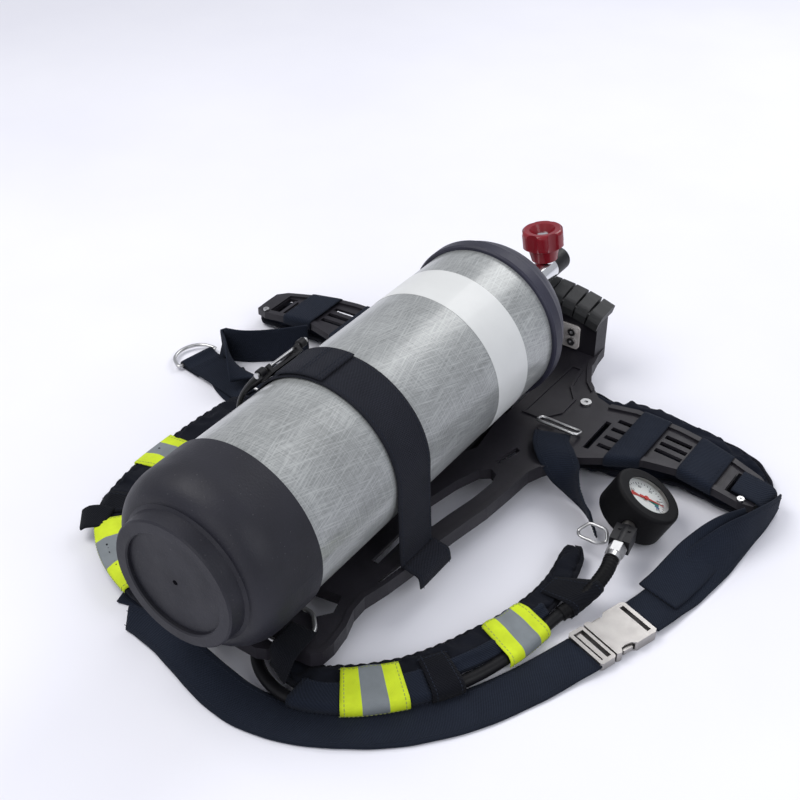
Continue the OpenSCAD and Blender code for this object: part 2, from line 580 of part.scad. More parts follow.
// Routes: x, y, z, roll, width, thickness
loop_route = [[62, 80, ring_z + 4.4, 0, 26, 2], [63, 66, ring_z + 4.4, 0, 26, 2], [63.5, 55, ring_z + 4,
    0, 26, 2],
    [63.5, 49, -81, 0, 26, 2], [63, 46, -89, 0, 26, 2], [62, 43.5, -99, 0, 26, 2]];
pad_right_route = [[60, 84, -109, 0, 30, 14], [59, 68, -109, 0, 30, 14], [74, 62, -109, 0, 32, 15],
    [90, 63, -108, 0, 33, 17], [103, 70, -107.5, 0, 35, 18], [117, 81, -107, 0, 34, 19], [132, 96, -107,
        0, 34, 20],
    [146, 113, -107, 0, 34, 20], [158, 132, -107, 0, 34, 20], [169, 154, -107, 0, 35, 20], [178, 176,
        -107, 0, 35, 20],
    [185, 198, -106.5, 0, 31, 20], [190, 222, -106, 0, 28, 20], [194, 248, -106, 0, 26, 20], [194, 276,
        -106, 0, 25, 19],
    [189, 304, -106, 0, 23, 18], [183, 322, -105, 0, 20, 15]];
pad_left_route = [[-60, 84, -109, 0, 30, 14], [-59, 68, -109, 0, 30, 14], [-76, 60, -107, 0, 36, 15],
    [-97, 62, -107, 0, 38, 14.2], [-118, 68, -103, 0, 42, 19], [-140, 78, -103, 0, 44, 20], [-162, 92,
        -103, 0, 44, 20],
    [-182, 112, -103, 0, 44, 20], [-196, 138, -103, 0, 42, 20], [-203, 168, -103, 0, 40, 20],
    [-205, 200, -103, 0, 40, 20], [-206, 234, -103, 0, 38, 20], [-206, 268, -103, 0, 36, 20],
    [-204, 300, -103, 0, 32, 19], [-199, 326, -103, 0, 26, 16]];
module shoulder_loops() color([0.1, 0.12, 0.17]) both_sides() strip(loop_route);
module shoulder_pad_right() color([0.13, 0.14, 0.2]) strip(pad_right_route);
module shoulder_pad_left() color([0.13, 0.14, 0.2]) strip(pad_left_route);
// Thin cover over part of a strap: knots from..to of its route, lifted by the strap's own height
module strap_cover(route, from, to, extra, t, shift = 0) strip([for (i = [from:to])
    let(p = route[i]) [p[0] + shift, p[1], p[2] + p[5] / 2 + t / 2 + 0.6, 0, p[4] + extra, t]]);
module patches_right() color([0.9, 0.98, 0.2]) {
    strap_cover(pad_right_route, 4, 7, 6, 1.2);
    strap_cover(pad_right_route, 10, 12, 8, 1.2, 3);
}
module patches_left() color([0.9, 0.98, 0.2]) {
    strap_cover(pad_left_route, 4, 6, 4, 1.2);
    strap_cover(pad_left_route, 9, 11, 4, 1.2);
}
module hose_keepers() color([0.08, 0.08, 0.1]) {
    strap_cover(pad_right_route, 8, 9, 12, 1.6, 4);
    strap_cover(pad_right_route, 13, 14, 12, 1.6, 4);
    strap_cover(pad_left_route, 7, 8, 14, 1.6, -5);
}
adjuster_loop = [[178, 338, -101], [186, 344, -93], [202, 344, -93], [206, 338, -101], [200, 332, -101],
    [182, 332, -101]];
module strap_adjusters() color("silver") {
    wire(adjuster_loop, 1.6);
    wire([for (p = adjuster_loop) [-p[0] - 10, p[1] + 4, p[2] + 2]], 1.6);
}
waist_ring = [[77, 444, -80], [121, 444, -80], [121, 432, -76], [77, 432, -76]];
module waist_rings() color("silver") both_sides() wire(waist_ring, 1.6);
pull_right_route = [[99, 425, -78.5, 0, 36, 2], [104, 413, -78.5, 1, 36, 2], [114, 402, -79.5, 3, 36, 2],
    [127, 392, -82.6, 18, 34, 2], [142, 385, -92, 52, 37, 2], [156, 377, -96.8, 68, 38, 2], [168, 367,
        -98, 75, 38, 2],
    [178, 357, -97.5, 76, 38, 2], [187, 348.5, -97, 76, 36, 2]];
pull_left_route = [[-99, 425, -78.5, 0, 36, 2], [-104, 413, -78.5, -1, 36, 2], [-114, 402, -79.5, -3, 36, 2],
    [-128, 391, -82.4, -18, 34, 2], [-145, 388, -92, -48, 36, 2], [-164, 381, -96, -62, 36, 2],
    [-182, 371, -97, -70, 36, 2], [-198, 355, -97, -70, 34, 2]];
module pull_strap_right() color([0.13, 0.16, 0.23]) strip(pull_right_route);
module pull_strap_left() color([0.13, 0.16, 0.23]) strip(pull_left_route);

// ---- tail strap with its D-ring --------------------------------------------------------------------

tail_w = 41;
tail_len = 94;
tail_turn = 10;
d_x = -308.5;
d_y = 358;
d_z = floor_z + 5.2;
d_wire = 2;
module on_tail() translate([d_x, d_y, d_z]) rotate(-tail_turn) children();
module tail_strap() color([0.14, 0.17, 0.24]) on_tail() difference() {
    union() {
        rotate([90, 0, 0]) translate([0, 0, -tail_w / 2]) cylinder(r = 4.6, h = tail_w, $fn = 48);
        translate([0, -tail_w / 2, -1]) cube([tail_len, tail_w, 2.6]);
    }
    rotate([90, 0, 0]) translate([0, 0, -tail_w]) cylinder(r = d_wire + 0.08, h = 2 * tail_w, $fn = 48);
}
d_half = 23.5;
module d_ring() color("silver") on_tail() wire(concat(
    [[0, -d_half, 0], [-6, -d_half, 0]],
    [for (a = [-60:30:60]) [-6 - 18 * cos(a), d_half * sin(a) * 0.98, 0]],
    [[-6, d_half, 0], [0, d_half, 0]]), d_wire);

// ---- waist belt and buckle ---------------------------------------------------------------------------

belt_right_top = [[274, 472, wing_top(274) + 4.6, 0, 33, belt_t], [290, 472, wing_top(290) + 4.6, 0, 33,
    belt_t],
    [302, 472, wing_top(300) + 3.6, 0, 34, belt_t], [307.6, 472, wing_top(300) - 1.5, 0, 34, belt_t],
    [309, 472, wing_top(300) - 9, 0, 34, belt_t]];
belt_right_route = [[312.5, 486, -107, -90, 20, belt_t], [313, 470, -103.6, -90, 27, belt_t],
    [312, 448, -99.4, -87, 35, belt_t], [307, 420, -97.4, -78, 40, belt_t], [300, 392, -99, -58, belt_w,
        belt_t],
    [291, 362, -105, -32, belt_w, belt_t],
    [284, 332, -111.5, -12, belt_w, belt_t], [277, 304, -112.5, -2, belt_w, belt_t],
    [271.5, 282.5, -112.5, 0, belt_w, belt_t]];
belt_left_near = [[-88, 24, -107, 60, 22, belt_t], [-72, 26, -106, 50, 26, belt_t], [-44, 24, -106, 42,
    30, belt_t],
    [-10, 18, -108, 30, 34, belt_t], [28, 12, -112, 12, 38, belt_t], [60, 13, -115.4, 1, belt_w, belt_t],
    [95, 22, -116, 0, belt_w, belt_t], [130, 40, -116, 0, belt_w, belt_t], [162, 64, -116, 0, belt_w, belt_t],
    [188, 92, -116, 0, belt_w, belt_t], [208, 122, -116, 0, belt_w, belt_t], [226, 158, -116, 0, belt_w,
        belt_t],
    [240, 192, -115, 0, belt_w, belt_t], [249.4, 213.5, -113, 0, belt_w, belt_t]];
belt_left_far = [[-212, 434, -96.8, -84, belt_w, belt_t], [-232, 413, -96.8, -88, belt_w, belt_t],
    [-252, 396, -96.8, -90, belt_w, belt_t], [-268, 385.5, -97, -90, belt_w, belt_t],
    [-283, 380, -97, -90, belt_w, belt_t]];
belt_left_back = [[-283.6, 375.4, -95.6, -90, 30, belt_t], [-272, 368, -95.6, -84, 30, belt_t],
    [-258, 359, -95.6, -66, 30, belt_t], [-244, 352, -98.8, -40, 32, belt_t], [-230, 346, -103, -14, 36,
        belt_t]];
belt_left_under = [[-268, 358, -116, 0, belt_w, belt_t], [-240, 342, -116, 0, belt_w, belt_t],
    [-205, 330, -116, 0, belt_w, belt_t], [-172, 306, -116, 0, belt_w, belt_t], [-152, 268, -116, 0,
        belt_w, belt_t],
    [-144, 220, -116, 0, belt_w, belt_t], [-136, 170, -116, 0, belt_w, belt_t], [-122, 120, -116, 0,
        belt_w, belt_t],
    [-106, 76, -116, 0, belt_w, belt_t], [-97, 44, -116, 0, belt_w, belt_t]];
module waist_belt_right() color([0.12, 0.15, 0.21]) {
    strip(belt_right_top);
    strip(belt_right_route);
}
module waist_belt_left() color([0.12, 0.15, 0.21]) {
    strip(belt_left_near);
    strip(belt_left_far);
    strip(belt_left_under);
    strip(belt_left_back);
    translate([-285.3, 375.4, -109]) cube([2.4, 4.6, 26]);
    translate([-100, 20, -116 - belt_t / 2]) cube([14, 12, 12]);
}
buckle_at = [260.5, 248, floor_z + 5.6];
buckle_turn = 18.7;
buckle_t = 10;
prong_x = 13.5;
prong_y = -11.5;
module on_buckle() translate(buckle_at) rotate(-buckle_turn) children();
module slab(x, y0, y1, z0, z1) translate([-x, y0, z0]) cube([2 * x, y1 - y0, z1 - z0]);
module buckle_shell() color([0.8, 0.78, 0.75]) on_buckle() difference() {
    translate([0, 0, -buckle_t / 2]) linear_extrude(buckle_t) difference() {
        polygon([[-20.5, -14], [20.5, -14], [21.5, -12], [21.5, -9], [17.5, -6], [17, -1], [18, 5], [21.5, 9],
            [21.5, 30], [19.5, 33], [-19.5, 33], [-21.5, 30], [-21.5, 9], [-18, 5], [-17, -1], [-17.5, -6],
            [-21.5, -9], [-21.5, -12]]);
        translate([-17, 24.5]) square([34, 4.5]);
    }
    slab(17.4, -15, 10, -3.6, 3.6);
    slab(19.4, 9.9, 19, -3.6, 3.6);
    slab(30, -8.6, 7.6, -3.6, 3.6);
}
module buckle_insert() color([0.8, 0.78, 0.75]) on_buckle() union() {
    translate([0, 0, -4]) linear_extrude(8) difference() {
        polygon([[-21.5, -30], [-19.5, -32], [19.5, -32], [21.5, -30], [21.5, -17], [20, -15], [-20,
            -15], [-21.5, -17]]);
        translate([-17.5, -28.5]) square([35, 10.5]);
    }
    slab(16.6, -15.5, -8.5, -3.3, -2.2);
    slab(6, -9, 19, -2.6, 2.6);
    for (s = [-1, 1]) translate([s * prong_x, prong_y, -3]) cylinder(r = 1.25, h = 5.8, $fn = 32);
}
module prong() difference() {
    translate([0, 0, -2]) linear_extrude(4.6) union() {
        translate([prong_x, prong_y]) circle(r = 2.6, $fn = 48);
        polygon([[11.6, prong_y], [15.8, prong_y], [16, -7.6], [20.4, -5.4], [20.6, 4.4], [16.4, 6.6],
            [16, 11.4],
            [18.4, 11.9], [17, 16.5], [13.4, 17.5], [12.2, 12]]);
    }
    translate([prong_x, prong_y, -5]) cylinder(r = 1.3, h = 10, $fn = 32);
}
module prong_far() color([0.8, 0.78, 0.75]) on_buckle() prong();
module prong_near() color([0.8, 0.78, 0.75]) on_buckle() mirror([1, 0, 0]) prong();
module belt_slide_bar() color([0.7, 0.7, 0.7]) on_buckle() difference() {
    translate([-17.2, -25.6, -3]) cube([34.4, 4.6, 5]);
    for (i = [-4:4]) translate([i * 3.8, -26.2, 0.6]) rotate([0, 45, 0]) cube([2, 3, 2]);
}

// ---- gauge and its hose --------------------------------------------------------------------------------

face_at = [221, 389, -73];
face_tilt = 28.5;
face_turn = 29.7;
stem_at = [214, 388, -86];
stem_turn = 9.2;
module on_gauge() translate(face_at) rotate([0, face_tilt, face_turn]) children();
module on_stem(t = 0) translate(stem_at) rotate([90, 0, stem_turn]) translate([0, 0, t]) children();
case_r = gauge_r - 6.5;
rim_over = 5;
module gauge_case() color("gray") difference() {
    union() {
        on_gauge() translate([0, 0, -gauge_deep + 5]) difference() {
            cylinder(r = case_r, h = gauge_deep - 6);
            translate([0, 0, 18]) cylinder(r = case_r - 1.5, h = 20);
        }
        on_stem(20) cylinder(r = 6.5, h = 21);
    }
    on_gauge() translate([0, 0, -gauge_deep + 5 + 18.01]) cylinder(r = case_r - 1.5, h = 20);
}
module gauge_cover() color([0.1, 0.1, 0.11]) difference() {
    on_gauge() rotate_extrude() polygon(concat([[0, -gauge_deep]], arc(gauge_r - 3, -gauge_deep + 3, 3,
        3, -90, 0, 5),
        arc(gauge_r - 3, -3, 3, 3, 0, 90, 5), [[case_r - rim_over, 0], [case_r - rim_over, -0.9],
            [case_r + 0.1, -0.9],
        [case_r + 0.1, -gauge_deep + 4.9], [0, -gauge_deep + 4.9]]));
    on_stem(15) cylinder(r = 6.7, h = 40);
}
module gauge_dial() color("white") on_gauge() translate([0, 0, -7.4]) difference() {
    cylinder(r = case_r - 1.6, h = 0.8);
    translate([0, 0, -1]) cylinder(r = 1.1, h = 4);
}
module gauge_needle() color([0.8, 0.2, 0.15]) on_gauge() translate([0, 0, -5.6]) union() {
    linear_extrude(0.7) polygon([[-7, -1.4], [-7, 1.4], [0, 0.9], [19, 0.3], [19, -0.3], [0, -0.9]]);
    cylinder(r = 2.4, h = 1.2);
    translate([0, 0, -4]) cylinder(r = 1.05, h = 4.5);
}
module gauge_lens() color([0.8, 0.9, 1, 0.4]) on_gauge() translate([0, 0,
    -2.6]) cylinder(r = case_r - 1.6, h = 1.5);
module swivel_block() color([0.1, 0.1, 0.11]) difference() {
    on_stem(41.1) union() {
        translate([-9.5, -8, 1]) cube([19, 15, 22]);
        cylinder(r = 7.4, h = 25);
        for (x = [-4.5, 4.5]) translate([x, 6, 8]) rotate([-90, 0, 0]) cylinder(r = 1.5, h = 2, $fn = 24);
    }
    on_stem(58) cylinder(r = 4.06, h = 10);
}
module hose_ferrule() color("silver") union() {
    on_stem(66.3) cylinder(r = 8.6, h = 12, $fn = 6);
    on_stem(78) cylinder(r = 7.4, h = 6);
    on_stem(59) cylinder(r = 4, h = 8);
}
hose_r = 5.5;
sleeve_route = [[227.4, 303.3, -86], [229.3, 294, -87.5], [229, 282, -91], [226, 268, -97], [220, 254,
    -103], [214.5, 240, -106.5]];
hose_under = [[port_x, 525.4, port_z - 8], [9, 514, -70], [12, 503, -73], [18, 490, -78], [25, 474, -86],
    [29, 458, -93],
    [31, 438, -97.5], [31, 410, -99.5], [31, 370, -99.8], [31, 320, -99.8], [31, 270, -99.8], [31, 220,
        -99.8],
    [28, 170, -100], [22, 130, -101], [16, 104, -104], [16, 84, -107], [22, 66, -109], [33, 52, -109.2],
    [48, 42, -109.2], [68, 36, -109.2], [88, 37, -109.2], [108, 46, -109.2], [128, 59, -109.2], [147, 77,
        -109.2],
    [165, 98, -109.2], [181, 121, -109.2], [192, 144, -109.2], [200, 168, -109.2], [206, 192, -109.2],
    [209.5, 216, -108.6], [212.8, 234, -107.3]];
module hose_sleeve() color([0.08, 0.08, 0.09]) round_tube(sleeve_route, 7, 3, 12);
module gauge_hose() color([0.08, 0.08, 0.09]) round_tube(hose_under, hose_r, 2, 10);

// ---- nodes -------------------------------------------------------------------------------------------

seat() cylinder_wrap();
seat() cylinder_liner();
seat() cylinder_label();
seat() boot();
seat() neck_guard();
seat() valve_body();
seat() gland_nut();
seat() valve_end_cap();
seat() handwheel();
seat() handwheel_nut();
seat() valve_spindle();
seat() coupling_nut();
seat() outlet_seal();
seat() reducer_body();
seat() reducer_cap();
seat() supply_outlet();
seat() outlet_sleeve();
seat() reducer_bracket();
seat() bracket_screws();
seat() backplate();
seat() bottom_bumper();
seat() wing_left();
seat() wing_right();
seat() wing_screws();
seat() wing_bands();
seat() hip_pad_left();
seat() hip_pad_right();
seat() cylinder_band();
seat() band_frame();
seat() band_lever();
seat() lever_pin();
seat() shoulder_rings();
seat() shoulder_loops();
seat() shoulder_pad_left();
seat() shoulder_pad_right();
seat() patches_left();
seat() patches_right();
seat() hose_keepers();
seat() strap_adjusters();
seat() pull_strap_left();
seat() pull_strap_right();
seat() waist_rings();
seat() tail_strap();
seat() d_ring();
seat() waist_belt_left();
seat() waist_belt_right();
seat() buckle_shell();
seat() buckle_insert();
seat() prong_near();
seat() prong_far();
seat() belt_slide_bar();
seat() gauge_hose();
seat() hose_sleeve();
seat() hose_ferrule();
seat() swivel_block();
seat() gauge_case();
seat() gauge_cover();
seat() gauge_dial();
seat() gauge_needle();
seat() gauge_lens();
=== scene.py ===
import math
import bmesh
import bpy
from mathutils import Matrix, Vector, kdtree, noise


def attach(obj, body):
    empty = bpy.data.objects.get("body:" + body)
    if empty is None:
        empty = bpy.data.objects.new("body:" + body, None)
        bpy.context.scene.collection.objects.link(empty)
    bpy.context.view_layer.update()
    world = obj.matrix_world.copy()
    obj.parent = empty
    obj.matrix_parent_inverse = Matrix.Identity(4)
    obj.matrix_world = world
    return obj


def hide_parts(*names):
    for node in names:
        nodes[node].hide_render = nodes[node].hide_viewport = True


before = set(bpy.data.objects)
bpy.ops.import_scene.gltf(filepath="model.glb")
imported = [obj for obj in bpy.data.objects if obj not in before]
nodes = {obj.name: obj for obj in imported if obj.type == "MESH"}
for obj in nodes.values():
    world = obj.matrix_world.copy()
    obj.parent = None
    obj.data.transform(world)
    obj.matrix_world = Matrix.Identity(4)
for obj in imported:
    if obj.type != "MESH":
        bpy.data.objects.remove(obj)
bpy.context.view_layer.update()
ORIGIN = (11, -301, 118)    # the cylinder's foot, on its axis, in the shared frame (mm)
WRAP_RADIUS = 0.079
Z = Vector((0, 0, 1))


def P(x, y, z):
    """Point given in millimetres from the cylinder's foot, on its axis."""
    return Vector(((x + ORIGIN[0]) / 1000, (y + ORIGIN[1]) / 1000, (z + ORIGIN[2]) / 1000))


def polar(r, degrees):
    return r * math.cos(math.radians(degrees)), r * math.sin(math.radians(degrees))


def placed(name, data):
    """New object, linked to the scene."""
    obj = bpy.data.objects.new(name, data)
    bpy.context.scene.collection.objects.link(obj)
    return obj


# ---- camera and light ----

camera = placed("camera", bpy.data.cameras.new("camera"))
camera.location = (0.576, -0.803, 0.841)
camera.rotation_euler = (math.radians(53.43), 0, math.radians(34.96))
camera.data.sensor_width = 36
camera.data.lens = 59.85
bpy.context.scene.camera = camera


AIM = Vector((0, 0, 0.1))


def area_light(name, place, size, power, tint=(1, 1, 1)):
    data = bpy.data.lights.new(name, "AREA")
    data.shape = "DISK"
    data.size = size
    data.energy = power
    data.color = tint
    lamp = placed(name, data)
    lamp.location = place
    lamp.rotation_euler = (AIM - Vector(place)).to_track_quat("-Z", "Y").to_euler()


area_light("key", (-0.9, -0.5, 1.9), 1.3, 22, (1, 0.985, 0.97))
area_light("fill", (1.7, -0.3, 1.2), 1.2, 9, (0.95, 0.97, 1))
area_light("back", (0.1, 1.6, 1.3), 1.0, 11)
area_light("front", (0.2, -1.8, 0.9), 1.0, 6)
world = bpy.data.worlds.new("studio")
bpy.context.scene.world = world
world.use_nodes = True
world.node_tree.nodes["Background"].inputs[0].default_value = (0.9, 0.92, 1, 1)
world.node_tree.nodes["Background"].inputs[1].default_value = 0.56
bpy.context.scene.view_settings.view_transform = "Standard"


# ---- materials ----

def shade(colour, k):
    return tuple(min(1, c * k) for c in colour)


class Shader:
    """Small helper round one material's node tree."""

    def __init__(self, name, rough=0.5, metal=0.0, coat=0.0, sheen=0.0, spec=0.5):
        self.mat = bpy.data.materials.new(name)
        self.mat.use_nodes = True
        self.tree = self.mat.node_tree
        self.bsdf = self.tree.nodes["Principled BSDF"]
        for key, value in (("Roughness", rough), ("Metallic", metal), ("Coat Weight", coat),
                           ("Sheen Weight", sheen), ("Specular IOR Level", spec)):
            self.bsdf.inputs[key].default_value = value
        self.coords = self.tree.nodes.new("ShaderNodeTexCoord")

    def put(self, value, socket):
        """Links a socket's value in, or sets a plain one."""
        if isinstance(value, bpy.types.NodeSocket):
            self.tree.links.new(value, socket)
        else:
            socket.default_value = value

    def node(self, kind, inputs=(), **props):
        n = self.tree.nodes.new(kind)
        for key, value in props.items():
            setattr(n, key, value)
        for key, value in dict(inputs).items():
            self.put(value, n.inputs[key])
        return n

    def split(self, kind):
        """The x, y and z of a kind of texture coordinate."""
        return self.node("ShaderNodeSeparateXYZ", {0: self.coords.outputs[kind]}).outputs

    def math(self, op, a, b=0.0):
        return self.node("ShaderNodeMath", {0: a, 1: b}, operation=op).outputs[0]

    def times(self, a, b):
        return self.math("MULTIPLY", a, b)

    def plus(self, a, b):
        return self.math("ADD", a, b)

    def minus(self, a, b):
        return self.math("SUBTRACT", a, b)

    def wave(self, value, pitch):
        """Sine that repeats every pitch metres."""
        return self.math("SINE", self.times(value, 2 * math.pi / pitch))

    def noise(self, scale, detail=3.0, vector=None, roughness=0.55):
        vector = self.coords.outputs["Object"] if vector is None else vector
        return self.node("ShaderNodeTexNoise", {"Vector": vector, "Scale": scale, "Detail": detail,
                                                "Roughness": roughness}).outputs["Fac"]

    def ramp(self, fac, stops, interpolation="LINEAR"):
        n = self.node("ShaderNodeValToRGB", {"Fac": fac})
        n.color_ramp.interpolation = interpolation
        while len(n.color_ramp.elements) < len(stops):
            n.color_ramp.elements.new(0.5)
        for e, (at, colour) in zip(n.color_ramp.elements, stops):
            e.position = at
            e.color = (*colour, 1) if not isinstance(colour, float) else (colour, colour, colour, 1)
        return n.outputs["Color"]

    def mottled(self, colour, scale, detail, *stops):
        """Noise between shades of a colour; each stop is a place on the ramp and a share of the colour."""
        return self.ramp(self.noise(scale, detail), [(at, shade(colour, k)) for at, k in stops])

    def mix(self, fac, a, b, blend="MIX"):
        n = self.tree.nodes.new("ShaderNodeMix")
        n.data_type = "RGBA"
        n.blend_type = blend
        for key, value in ((0, fac), (6, a), (7, b)):
            self.put((*value, 1) if isinstance(value, tuple) else value, n.inputs[key])
        return n.outputs[2]

    def base(self, colour):
        self.tree.links.new(colour, self.bsdf.inputs["Base Color"])

    def rough(self, fac, low, high):
        n = self.node("ShaderNodeMapRange", {0: fac, 3: low, 4: high})
        self.tree.links.new(n.outputs[0], self.bsdf.inputs["Roughness"])

    def bump(self, height, strength, distance=0.001):
        n = self.node("ShaderNodeBump", {"Height": height, "Strength": strength, "Distance": distance})
        self.tree.links.new(n.outputs[0], self.bsdf.inputs["Normal"])


def plastic(name, colour, rough=0.5, grain=900, bump=0.25, spread=0.22, coat=0.0, mottle=26, spec=0.3):
    s = Shader(name, rough, coat=coat, spec=spec)
    s.base(s.mottled(colour, mottle, 4, (0.25, 1 - spread), (0.75, 1 + spread)))
    s.rough(s.noise(mottle * 2.5, 4), rough - 0.1, rough + 0.12)
    s.bump(s.noise(grain, 2), bump, 0.0004)
    return s.mat


def metal(name, colour, rough=0.25, spread=0.12, metallic=1.0):
    s = Shader(name, rough, metal=metallic)
    s.base(s.mottled(colour, 60, 5, (0.2, 1 - spread), (0.8, 1 + spread * 0.5)))
    s.rough(s.noise(180, 5), rough - 0.08, rough + 0.14)
    s.bump(s.noise(1400, 2), 0.06, 0.0002)
    return s.mat


def webbing(name, colour, rib=0.0017, light=3.0):
    """Woven tape: ribs across it and a diagonal between them, from the strip's own UVs in metres."""
    s = Shader(name, 0.85, sheen=0.03, spec=0.08)
    uv = s.split("UV")
    across = s.wave(uv[0], rib)
    along = s.wave(s.plus(uv[1], s.times(uv[0], 0.6)), rib * 1.3)
    high = s.plus(s.times(s.times(across, along), 0.5), 0.5)
    dark = s.mottled(colour, 35, 4, (0.3, 0.75), (0.75, 1.15))
    s.base(s.mix(s.times(high, 0.55), dark, shade(colour, light)))
    s.bump(s.plus(high, s.times(s.noise(2200, 1), 0.4)), 0.9, 0.0006)
    return s.mat


def cloth_fabric(name, colour, weave=0.0011, light=2.0):
    """Woven cloth with no UVs: crossing threads from the piece's own coordinates."""
    s = Shader(name, 0.9, sheen=0.02, spec=0.06)
    xyz = s.split("Object")
    a, b = (s.wave(s.plus(xyz[axis], s.times(xyz[2], 0.7)), weave) for axis in (0, 1))
    high = s.plus(s.times(s.times(a, b), 0.5), 0.5)
    dark = s.mottled(colour, 30, 5, (0.3, 0.7), (0.75, 1.25))
    s.base(s.mix(s.times(high, 0.5), dark, shade(colour, light)))
    s.bump(s.plus(high, s.times(s.noise(420, 3), 0.8)), 0.45, 0.0006)
    return s.mat


def composite(name):
    """Clear-coated fibre winding: crossing helical streaks over hoop streaks."""
    streak = 27.0       # streaks to a metre along a winding
    s = Shader(name, 0.36, metal=0.2, coat=0.45)
    s.bsdf.inputs["Coat Roughness"].default_value = 0.16
    xyz = s.split("Object")
    x = s.minus(xyz[0], ORIGIN[0] / 1000)
    z = s.minus(xyz[2], ORIGIN[2] / 1000)
    turn = s.times(s.math("ARCTAN2", x, z), WRAP_RADIUS)
    layers = []
    for angle, fine in ((16, 680.0), (-16, 680.0), (84, 760.0)):
        c, t = polar(1, angle)
        a = s.plus(s.times(xyz[1], c), s.times(turn, t))
        b = s.minus(s.times(turn, c), s.times(xyz[1], t))
        place = {0: s.times(a, streak), 1: s.times(b, fine), 2: float(angle)}
        layers.append(s.noise(1.0, 3, s.node("ShaderNodeCombineXYZ", place).outputs[0], 0.6))
    helical = s.math("MAXIMUM", layers[0], layers[1])
    both = s.plus(s.times(helical, 0.7), s.times(layers[2], 0.3))
    tone = s.ramp(both, [(0.38, (0.2, 0.21, 0.207)), (0.52, (0.31, 0.323, 0.32)),
                         (0.66, (0.44, 0.455, 0.45))])
    blotch = s.ramp(s.noise(11, 4), [(0.35, 0.86), (0.7, 1.06)])
    s.base(s.mix(1.0, tone, blotch, "MULTIPLY"))
    s.rough(layers[2], 0.25, 0.5)
    s.bump(s.noise(45, 3), 0.06, 0.001)
    return s.mat


def speckled(name, colour, rough, speck=(0.12, 0.12, 0.13), spec=0.35):
    """Moulded rubber with pale dust in its grain."""
    s = Shader(name, rough, spec=spec)
    body = s.mottled(colour, 18, 5, (0.3, 0.8), (0.75, 1.3))
    place = {"Vector": s.coords.outputs["Object"], "Scale": 260.0}
    cells = s.node("ShaderNodeTexVoronoi", place).outputs["Distance"]
    dots = s.ramp(s.plus(cells, s.times(s.noise(55, 3), 0.45)), [(0.27, 1.0), (0.31, 0.0)])
    s.base(s.mix(s.times(dots, 0.3), body, speck))
    s.rough(s.noise(40, 5), rough - 0.12, rough + 0.15)
    s.bump(s.noise(520, 3), 0.3, 0.0006)
    return s.mat


def banded(name, stops):
    """Tape whose colour depends on how far along it a point lies (second UV layer's u, 0 to 1)."""
    weave = 0.0014
    s = Shader(name, 0.6, spec=0.2)
    part = s.node("ShaderNodeUVMap", uv_map="part").outputs[0]
    bands = s.ramp(s.node("ShaderNodeSeparateXYZ", {0: part}).outputs[0], stops, "CONSTANT")
    worn = s.ramp(s.noise(60, 4), [(0.3, 0.84), (0.7, 1.04)])
    s.base(s.mix(1.0, bands, worn, "MULTIPLY"))
    uv = s.split("UV")
    s.bump(s.times(s.wave(uv[0], weave), s.wave(uv[1], weave)), 0.3, 0.0003)
    return s.mat


YELLOW = (0.6, 0.74, 0.022)
SILVER = (0.2, 0.222, 0.235)
m_wrap = composite("composite")
m_liner = metal("liner_metal", (0.75, 0.75, 0.75), 0.35)
m_label = plastic("label_white", (0.63, 0.64, 0.63), 0.42, grain=300, bump=0.05, spread=0.04, coat=0.15)
m_boot = speckled("boot_rubber", (0.0125, 0.0125, 0.0185), 0.5, spec=0.3)
m_guard = speckled("guard_rubber", (0.025, 0.025, 0.041), 0.48, speck=(0.16, 0.15, 0.2), spec=0.3)
m_red = plastic("wheel_crimson", (0.21, 0.005, 0.013), 0.32, grain=240, bump=0.05, spread=0.12, coat=0.25)
m_nickel = metal("nickel", (0.4, 0.383, 0.368), 0.3, spread=0.2)
m_chrome = metal("bright_chrome", (0.75, 0.76, 0.77), 0.12, 0.06)
m_steel = metal("steel_wire", (0.55, 0.55, 0.55), 0.3)
# The bracket's nickel plate gets a pale, nearly non-metallic base: painted reflection, so that it stays
# bright where it lies in shade
m_bracket_painted_reflection = metal("nickel_plate_painted_reflection", (0.82, 0.77, 0.73), 0.45, metallic=0.15)
m_plate = plastic("plate_plastic", (0.0155, 0.014, 0.0185), 0.48, grain=1300, bump=0.35, spread=0.25)
m_black = plastic("black_plastic", (0.0075, 0.0075, 0.009), 0.42, bump=0.2, spec=0.25)
m_rubber = plastic("black_rubber", (0.0035, 0.0035, 0.0042), 0.5, grain=700, bump=0.3, spec=0.12)
m_hose = plastic("hose_rubber", (0.005, 0.005, 0.006), 0.42, grain=500, bump=0.2, mottle=60, spec=0.2)
m_bumper = speckled("bumper_rubber", (0.04, 0.041, 0.042), 0.5, speck=(0.09, 0.09, 0.085), spec=0.28)
m_web = webbing("navy_webbing", (0.0085, 0.0112, 0.0185))
m_web_dark = webbing("dark_webbing", (0.0045, 0.005, 0.0072), light=2.8)
m_band = webbing("band_webbing", (0.0115, 0.0125, 0.0175), rib=0.0021, light=2.3)
m_pad = cloth_fabric("pad_cloth", (0.0075, 0.0085, 0.0125))
m_quilt = cloth_fabric("quilt_cloth", (0.0065, 0.008, 0.0135), weave=0.0016, light=2.4)
m_piping = webbing("edge_tape", (0.006, 0.0066, 0.0095), rib=0.0012)
m_thread = plastic("thread", (0.022, 0.027, 0.04), 0.8, grain=2000, spec=0.1)
m_thread_pale = plastic("thread_pale", (0.3, 0.34, 0.12), 0.8, grain=2000, spec=0.1)
m_patch = banded("bright_patch", [(0.0, YELLOW), (0.31, SILVER), (0.69, YELLOW)])
m_dial = plastic("dial_white", (0.72, 0.73, 0.71), spread=0.04)
m_dark_ink = plastic("dial_ink", (0.02, 0.02, 0.02))
m_red_ink = plastic("dial_red", (0.5, 0.03, 0.02))
m_green_ink = plastic("dial_green", (0.02, 0.2, 0.16))
m_blue_ink = plastic("dial_blue", (0.03, 0.07, 0.2))
lens = Shader("lens_glass", 0.03)
